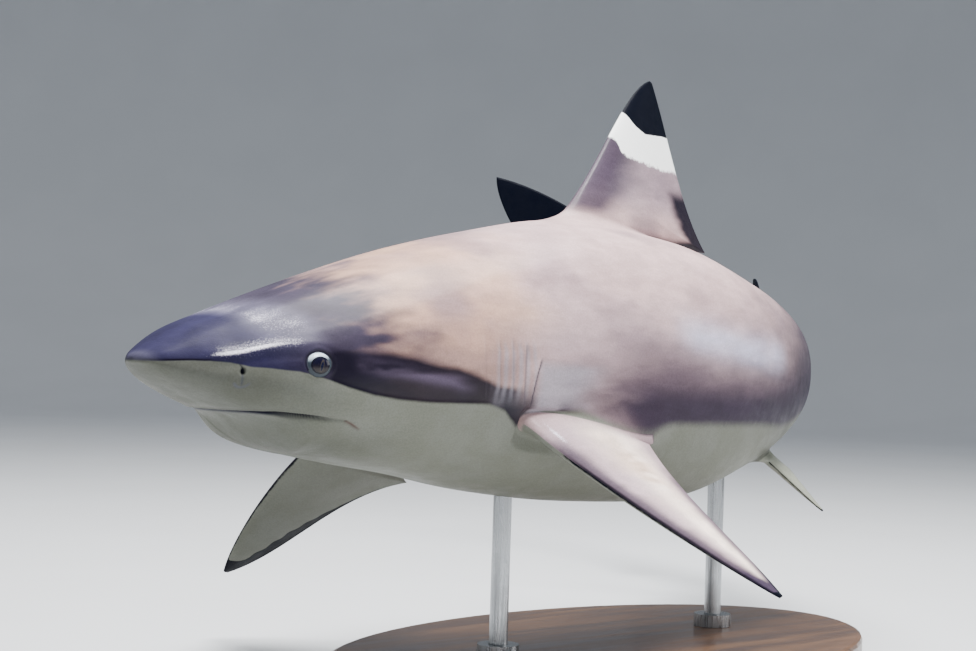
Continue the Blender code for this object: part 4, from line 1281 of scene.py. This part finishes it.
def skinMaterial():
    material, tree, shader = startMaterial("skin")
    where = put(tree, "TexCoord").outputs["Object"]
    ragged = noise(tree, where, 180, 4, 0.65)
    blotches = noise(tree, where, 26, 4, 0.6)
    fine = noise(tree, where, 700, 3, 0.6)
    stretched = put(tree, "Mapping", {"Vector": where, "Scale": (1, 1, 3.2)}).outputs[0]
    streaks = noise(tree, stretched, 34, 4, 0.6)

    def jagged(name, amount):  # a field whose edges are made ragged
        return plus(tree, attribute(tree, name), times(tree, minus(tree, ragged, 0.5), amount))

    mottle = skinFinish["mottle"]
    brightness = mapped(tree, blotches, 0.32, 0.7, 1 - mottle, 1 + mottle)
    streaky = mapped(tree, streaks, 0.35, 0.68, 0.92, 1.10)
    grain = mapped(tree, fine, 0.3, 0.7, 0.92, 1.08)
    upper = shaded(tree, attribute(tree, "tone", "Color"),
                   times(tree, times(tree, brightness, streaky), grain))
    low = mixed(tree, mapped(tree, blotches, 0.35, 0.65), rgba(colours["pale"]),
                rgba(colours["paleBlotch"]))
    # the pale underside, lowered by the painted shade in its field
    low = shaded(tree, low, times(tree, grain, attribute(tree, "paleness")))
    colour = mixed(tree, mapped(tree, jagged("shade", 0.55), -1.0, 1.0), low, upper)
    # painted glints: where the field and fine noise together are high, the colour turns to bright glints
    paintedGlints = plus(tree, attribute(tree, "paintedGlint"), times(tree, noise(tree, where, 1400, 1, 0.5), 0.9))
    colour = mixed(tree, mapped(tree, paintedGlints, 0.80, 1.42), colour, rgba(colours["paintedGlint"]))
    colour = mixed(tree, mapped(tree, jagged("white", 9.0), -2.0, 2.0), colour, rgba(colours["white"]))
    colour = mixed(tree, mapped(tree, jagged("tip", 1.8), -0.5, 0.5), colour, rgba(colours["black"]))
    colour = mixed(tree, times(tree, attribute(tree, "gill"), 0.8), colour, rgba(colours["gill"]))
    for name in ("furrow", "fold", "lidDark", "lid", "slit"):
        colour = mixed(tree, attribute(tree, name), colour, rgba(colours[name]))
    tree.links.new(colour, shader.inputs["Base Color"])

    roughness = mapped(tree, noise(tree, where, 60, 4, 0.6), 0.3, 0.7, *skinFinish["roughness"])
    tree.links.new(roughness, shader.inputs["Roughness"])
    shader.inputs["Specular IOR Level"].default_value = skinFinish["specular"]
    tree.links.new(attribute(tree, "gloss"), shader.inputs["Coat Weight"])
    shader.inputs["Coat Roughness"].default_value = skinFinish["coatRoughness"]
    scale, strength, depth = skinFinish["pores"]
    pores = put(tree, "Bump", {"Height": noise(tree, where, scale, 2, 0.6), "Strength": strength,
                               "Distance": depth})
    scale, strength, depth = skinFinish["swells"]
    swells = put(tree, "Bump", {"Height": noise(tree, where, scale, 4, 0.6), "Strength": strength,
                                "Distance": depth, "Normal": pores.outputs[0]})
    tree.links.new(swells.outputs[0], shader.inputs["Normal"])
    return material


mesh.materials.append(skinMaterial())
print("skin finished")

eyeball = {  # lengths in millimetres, and places as (back, up)
    "radius": 11.6, "halfDepth": 7.9, "sunk": 0.5, "height": 0.92, "rise": 0.9,
    "pupil": (1.0, 3.3), "pupilAt": (0.8, -0.8), "pupilTilt": 0.20, "iris": 7.0, "limbus": 7.3,
    "gaze": (0.35, 0.9), "rings": 64, "around": 96,
    "roughness": 0.12, "specular": 0.2, "coat": 0.06, "coatRoughness": 0.03,
}
eyeColours = {
    # the iris's top darkened by painted shade; the silvery ring in painted shade below and with a
    # painted highlight at its top left
    "irisLow": (0.030, 0.024, 0.022), "irisShadedTop": (0.003, 0.003, 0.014),
    "threads": (0.009, 0.008, 0.014), "irisRim": (0.004, 0.004, 0.009),
    "pupil": (0.004, 0.006, 0.02), "pupilRim": (0.038, 0.031, 0.028),
    "ringShaded": (0.030, 0.040, 0.050), "ringLit": (0.52, 0.60, 0.66),
}


def makeEye(name, frameOf):
    rings, around = eyeball["rings"], eyeball["around"]
    share = np.linspace(0, 1, rings + 1)[1:-1] * math.pi
    turn = np.linspace(0, 2 * math.pi, around, endpoint=False)
    away = eyeball["radius"] * np.sin(share)[:, None] * np.ones(around)
    back = away * np.cos(turn)
    up = away * np.sin(turn) * eyeball["height"] + eyeball["rise"]
    out = eyeball["halfDepth"] * np.cos(share)[:, None] * np.ones(around) - eyeball["sunk"]
    flat = np.stack([back, up, out], -1).reshape(-1, 3)
    ends = np.array([(0, eyeball["rise"], eyeball["halfDepth"] - eyeball["sunk"]),
                     (0, eyeball["rise"], -eyeball["halfDepth"] - eyeball["sunk"])])
    flat = np.vstack([flat, ends])
    ways = np.stack([frameOf["back"], frameOf["up"], frameOf["out"]])
    corners = frameOf["middle"] + flat @ ways / 1000
    faces = []
    n = rings - 1
    for i in range(n - 1):
        for j in range(around):
            k = (j + 1) % around
            faces.append((i * around + j, (i + 1) * around + j, (i + 1) * around + k, i * around + k))
    for j in range(around):
        k = (j + 1) % around
        faces.append((n * around, j, k))
        faces.append((n * around + 1, (n - 1) * around + k, (n - 1) * around + j))
    ball = bpy.data.meshes.new(name + "_ball")
    ball.from_pydata(corners.tolist(), [], faces)
    for field, values in (("eyeAcross", flat[:, 0]), ("eyeUp", flat[:, 1]), ("eyeOut", flat[:, 2])):
        ball.attributes.new(field, "FLOAT", "POINT").data.foreach_set("value", values.astype(np.float32))
    work = bmesh.new()
    work.from_mesh(ball)
    bmesh.ops.recalc_face_normals(work, faces=work.faces)
    work.to_mesh(ball)
    work.free()
    ball.shade_smooth()
    made = bpy.data.objects.new(name + "_ball", ball)
    bpy.context.scene.collection.objects.link(made)
    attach(made, "root")
    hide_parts(name)
    return made


def eyeMaterial():
    material, tree, shader = startMaterial("eye")
    look = {name: rgba(colour) for name, colour in eyeColours.items()}
    across = minus(tree, attribute(tree, "eyeAcross"), eyeball["gaze"][0])
    up = minus(tree, attribute(tree, "eyeUp"), eyeball["gaze"][1])
    where = put(tree, "CombineXYZ", {0: across, 1: up, 2: attribute(tree, "eyeOut")}).outputs[0]
    away = ovalDistance(tree, across, times(tree, up, eye["flatter"]))
    level = minus(tree, up, eyeball["pupilAt"][1])
    leaned = minus(tree, minus(tree, across, eyeball["pupilAt"][0]),
                   times(tree, level, eyeball["pupilTilt"]))
    slit = ovalDistance(tree, *(sums(tree, "DIVIDE", part, half)
                                for part, half in zip((leaned, level), eyeball["pupil"])))
    # painted shade darkens the iris towards its top
    iris = mixed(tree, mapped(tree, up, -4.5, 2.0), look["irisLow"], look["irisShadedTop"])
    threads = mapped(tree, noise(tree, where, 1.6, 4, 0.65), 0.42, 0.62, 0, 0.5)
    iris = mixed(tree, threads, iris, look["threads"])
    colour = mixed(tree, mapped(tree, slit, 1.25, 1.75), look["pupilRim"], iris)
    colour = mixed(tree, mapped(tree, slit, 0.92, 1.12), look["pupil"], colour)
    rim = mapped(tree, away, eyeball["iris"] - 1.2, eyeball["iris"] - 0.4)
    colour = mixed(tree, rim, colour, look["irisRim"])
    # painted highlight: the silvery ring lit at its top left, in painted shade below
    lit = mapped(tree, minus(tree, up, times(tree, across, 0.15)), 2.5, 7.5)
    outside = mapped(tree, away, eyeball["limbus"] - 0.25, eyeball["limbus"] + 0.25)
    colour = mixed(tree, outside, colour, mixed(tree, lit, look["ringShaded"], look["ringLit"]))
    tree.links.new(colour, shader.inputs["Base Color"])
    shader.inputs["Roughness"].default_value = eyeball["roughness"]
    shader.inputs["Specular IOR Level"].default_value = eyeball["specular"]
    shader.inputs["Coat Weight"].default_value = eyeball["coat"]
    shader.inputs["Coat Roughness"].default_value = eyeball["coatRoughness"]
    return material


eyeLook = eyeMaterial()
for name, frameOf in eyeFrames.items():
    makeEye(name, frameOf).data.materials.append(eyeLook)
print("eyes set")

stand = {
    "wood": (0.055, 0.026, 0.014), "woodLight": (0.13, 0.065, 0.032), "woodPores": (0.02, 0.009, 0.005),
    "grain": 26.0, "woodRoughness": (0.28, 0.42), "varnish": 0.3,
    "steel": (0.40, 0.41, 0.42), "brush": 900.0, "steelRoughness": (0.20, 0.34),
}


def woodMaterial():
    material, tree, shader = startMaterial("stained_wood")
    where = put(tree, "TexCoord").outputs["Object"]
    turned = put(tree, "Mapping", {"Vector": where, "Rotation": (0, 0, 0.09), "Scale": (1, 14, 14)})
    rings = noise(tree, turned.outputs[0], stand["grain"] / 6, 6, 0.62)
    pores = noise(tree, turned.outputs[0], stand["grain"] * 3, 3, 0.6)
    colour = mixed(tree, mapped(tree, rings, 0.35, 0.65), rgba(stand["wood"]), rgba(stand["woodLight"]))
    colour = mixed(tree, mapped(tree, pores, 0.58, 0.7, 0, 0.6), colour, rgba(stand["woodPores"]))
    tree.links.new(colour, shader.inputs["Base Color"])
    roughness = mapped(tree, rings, 0.3, 0.7, *stand["woodRoughness"])
    tree.links.new(roughness, shader.inputs["Roughness"])
    height = put(tree, "Bump", {"Height": pores, "Strength": 0.2, "Distance": 0.0004})
    tree.links.new(height.outputs[0], shader.inputs["Normal"])
    shader.inputs["Coat Weight"].default_value = stand["varnish"]
    shader.inputs["Coat Roughness"].default_value = 0.15
    return material


def steelMaterial():
    material, tree, shader = startMaterial("brushed_steel")
    where = put(tree, "TexCoord").outputs["Object"]
    drawn = put(tree, "Mapping", {"Vector": where, "Scale": (1, 1, 0.02)}).outputs[0]
    lines = noise(tree, drawn, stand["brush"], 3, 0.6)
    smudges = noise(tree, where, 30, 3, 0.6)
    shader.inputs["Base Color"].default_value = rgba(stand["steel"])
    shader.inputs["Metallic"].default_value = 1.0
    roughness = plus(tree, mapped(tree, lines, 0.3, 0.7, *stand["steelRoughness"]),
                     mapped(tree, smudges, 0.4, 0.7, 0.0, 0.08))
    tree.links.new(roughness, shader.inputs["Roughness"])
    height = put(tree, "Bump", {"Height": lines, "Strength": 0.15, "Distance": 0.0001})
    tree.links.new(height.outputs[0], shader.inputs["Normal"])
    return material


woodLook, steelLook = woodMaterial(), steelMaterial()
for name in ("stand_base", "stand_rod_front", "stand_rod_rear", "stand_collar_front",
             "stand_collar_rear"):
    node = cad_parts[name]
    node.data.materials.clear()
    node.data.materials.append(woodLook if name == "stand_base" else steelLook)
print("stand finished")

view = {
    "from": (-0.6768, -0.7786, 0.0109),  # shares of the body's length, from between the shoulders
    "yaw": 0.7151, "pitch": 0.0126, "roll": 0.0318, "lens": 65.2,
}
camera = bpy.data.objects.new("camera", bpy.data.cameras.new("camera"))
bpy.context.scene.collection.objects.link(camera)
spot = spinePlaces[shoulders] + spineShift + np.array(view["from"]) * bodyLength
yaw, pitch = view["yaw"], view["pitch"]
forward = Vector((math.sin(yaw) * math.cos(pitch), math.cos(yaw) * math.cos(pitch), math.sin(pitch)))
turn = (-forward).to_track_quat("Z", "Y")
camera.matrix_world = (Matrix.Translation(Vector(spot)) @ turn.to_matrix().to_4x4()
                       @ Matrix.Rotation(view["roll"], 4, "Z"))
camera.data.sensor_width = 36
camera.data.lens = view["lens"]
camera.data.clip_start = 0.02
bpy.context.scene.camera = camera

studio = {
    "floor": (0.58, 0.59, 0.60), "world": (0.80, 0.88, 1.0), "worldStrength": 0.55,
    # radius of the flat, radius of the curve that rises from it, and height of the wall
    "sweep": (5.0, 2.5, 5.5), "around": 96,
    # place, size and power of each soft light
    "lights": (((-0.40, -0.95, 2.1), 0.6, 84), ((0.15, 0.0, 2.4), 1.8, 165),
               ((1.75, -1.5, 0.95), 1.0, 14)),
    "aim": (0.0, -0.1, 0.28),
}


def floorMaterial():
    material, tree, shader = startMaterial("studio_floor")
    where = put(tree, "TexCoord").outputs["Object"]
    clouded = mapped(tree, noise(tree, where, 3, 4), 0.3, 0.7, 0.97, 1.0)
    tree.links.new(shaded(tree, rgba(studio["floor"]), clouded), shader.inputs["Base Color"])
    shader.inputs["Roughness"].default_value = 0.8
    shader.inputs["Specular IOR Level"].default_value = 0.1
    return material


def makeSweep():  # a round floor that curves up into a wall all round
    flat, curve, height = studio["sweep"]
    around = studio["around"]
    turns = np.linspace(0, math.pi / 2, 13)
    radius = np.concatenate([[0.5, 2.0], flat + curve * np.sin(turns), [flat + curve]])
    rise = np.concatenate([[0, 0], curve * (1 - np.cos(turns)), [height]])
    compass = np.linspace(0, 2 * math.pi, around, endpoint=False)
    ring = np.stack([np.outer(radius, np.cos(compass)), np.outer(radius, np.sin(compass)),
                     np.outer(rise, np.ones(around))], -1)
    corners = [(0, 0, 0)] + ring.reshape(-1, 3).tolist()
    faces = [(0, 1 + j, 1 + (j + 1) % around) for j in range(around)]
    for first in range(1, 1 + (len(radius) - 1) * around, around):
        for j in range(around):
            k = (j + 1) % around
            faces.append((first + j, first + around + j, first + around + k, first + k))
    sweep = bpy.data.meshes.new("studio_floor")
    sweep.from_pydata(corners, [], faces)
    sweep.shade_smooth()
    return bpy.data.objects.new("studio_floor", sweep)


floor = makeSweep()
bpy.context.scene.collection.objects.link(floor)
floor.data.materials.append(floorMaterial())
world = bpy.data.worlds.new("studio")
world.use_nodes = True
sky = world.node_tree.nodes["Background"]
sky.inputs["Color"].default_value = rgba(studio["world"])
sky.inputs["Strength"].default_value = studio["worldStrength"]
bpy.context.scene.world = world
for place, size, power in studio["lights"]:
    bpy.ops.object.light_add(type="AREA", location=place)
    light = bpy.context.object
    light.data.shape = "SQUARE"
    light.data.size = size
    light.data.energy = power
    light.rotation_euler = (Vector(place) - Vector(studio["aim"])).to_track_quat("Z", "Y").to_euler()
print("studio lit")
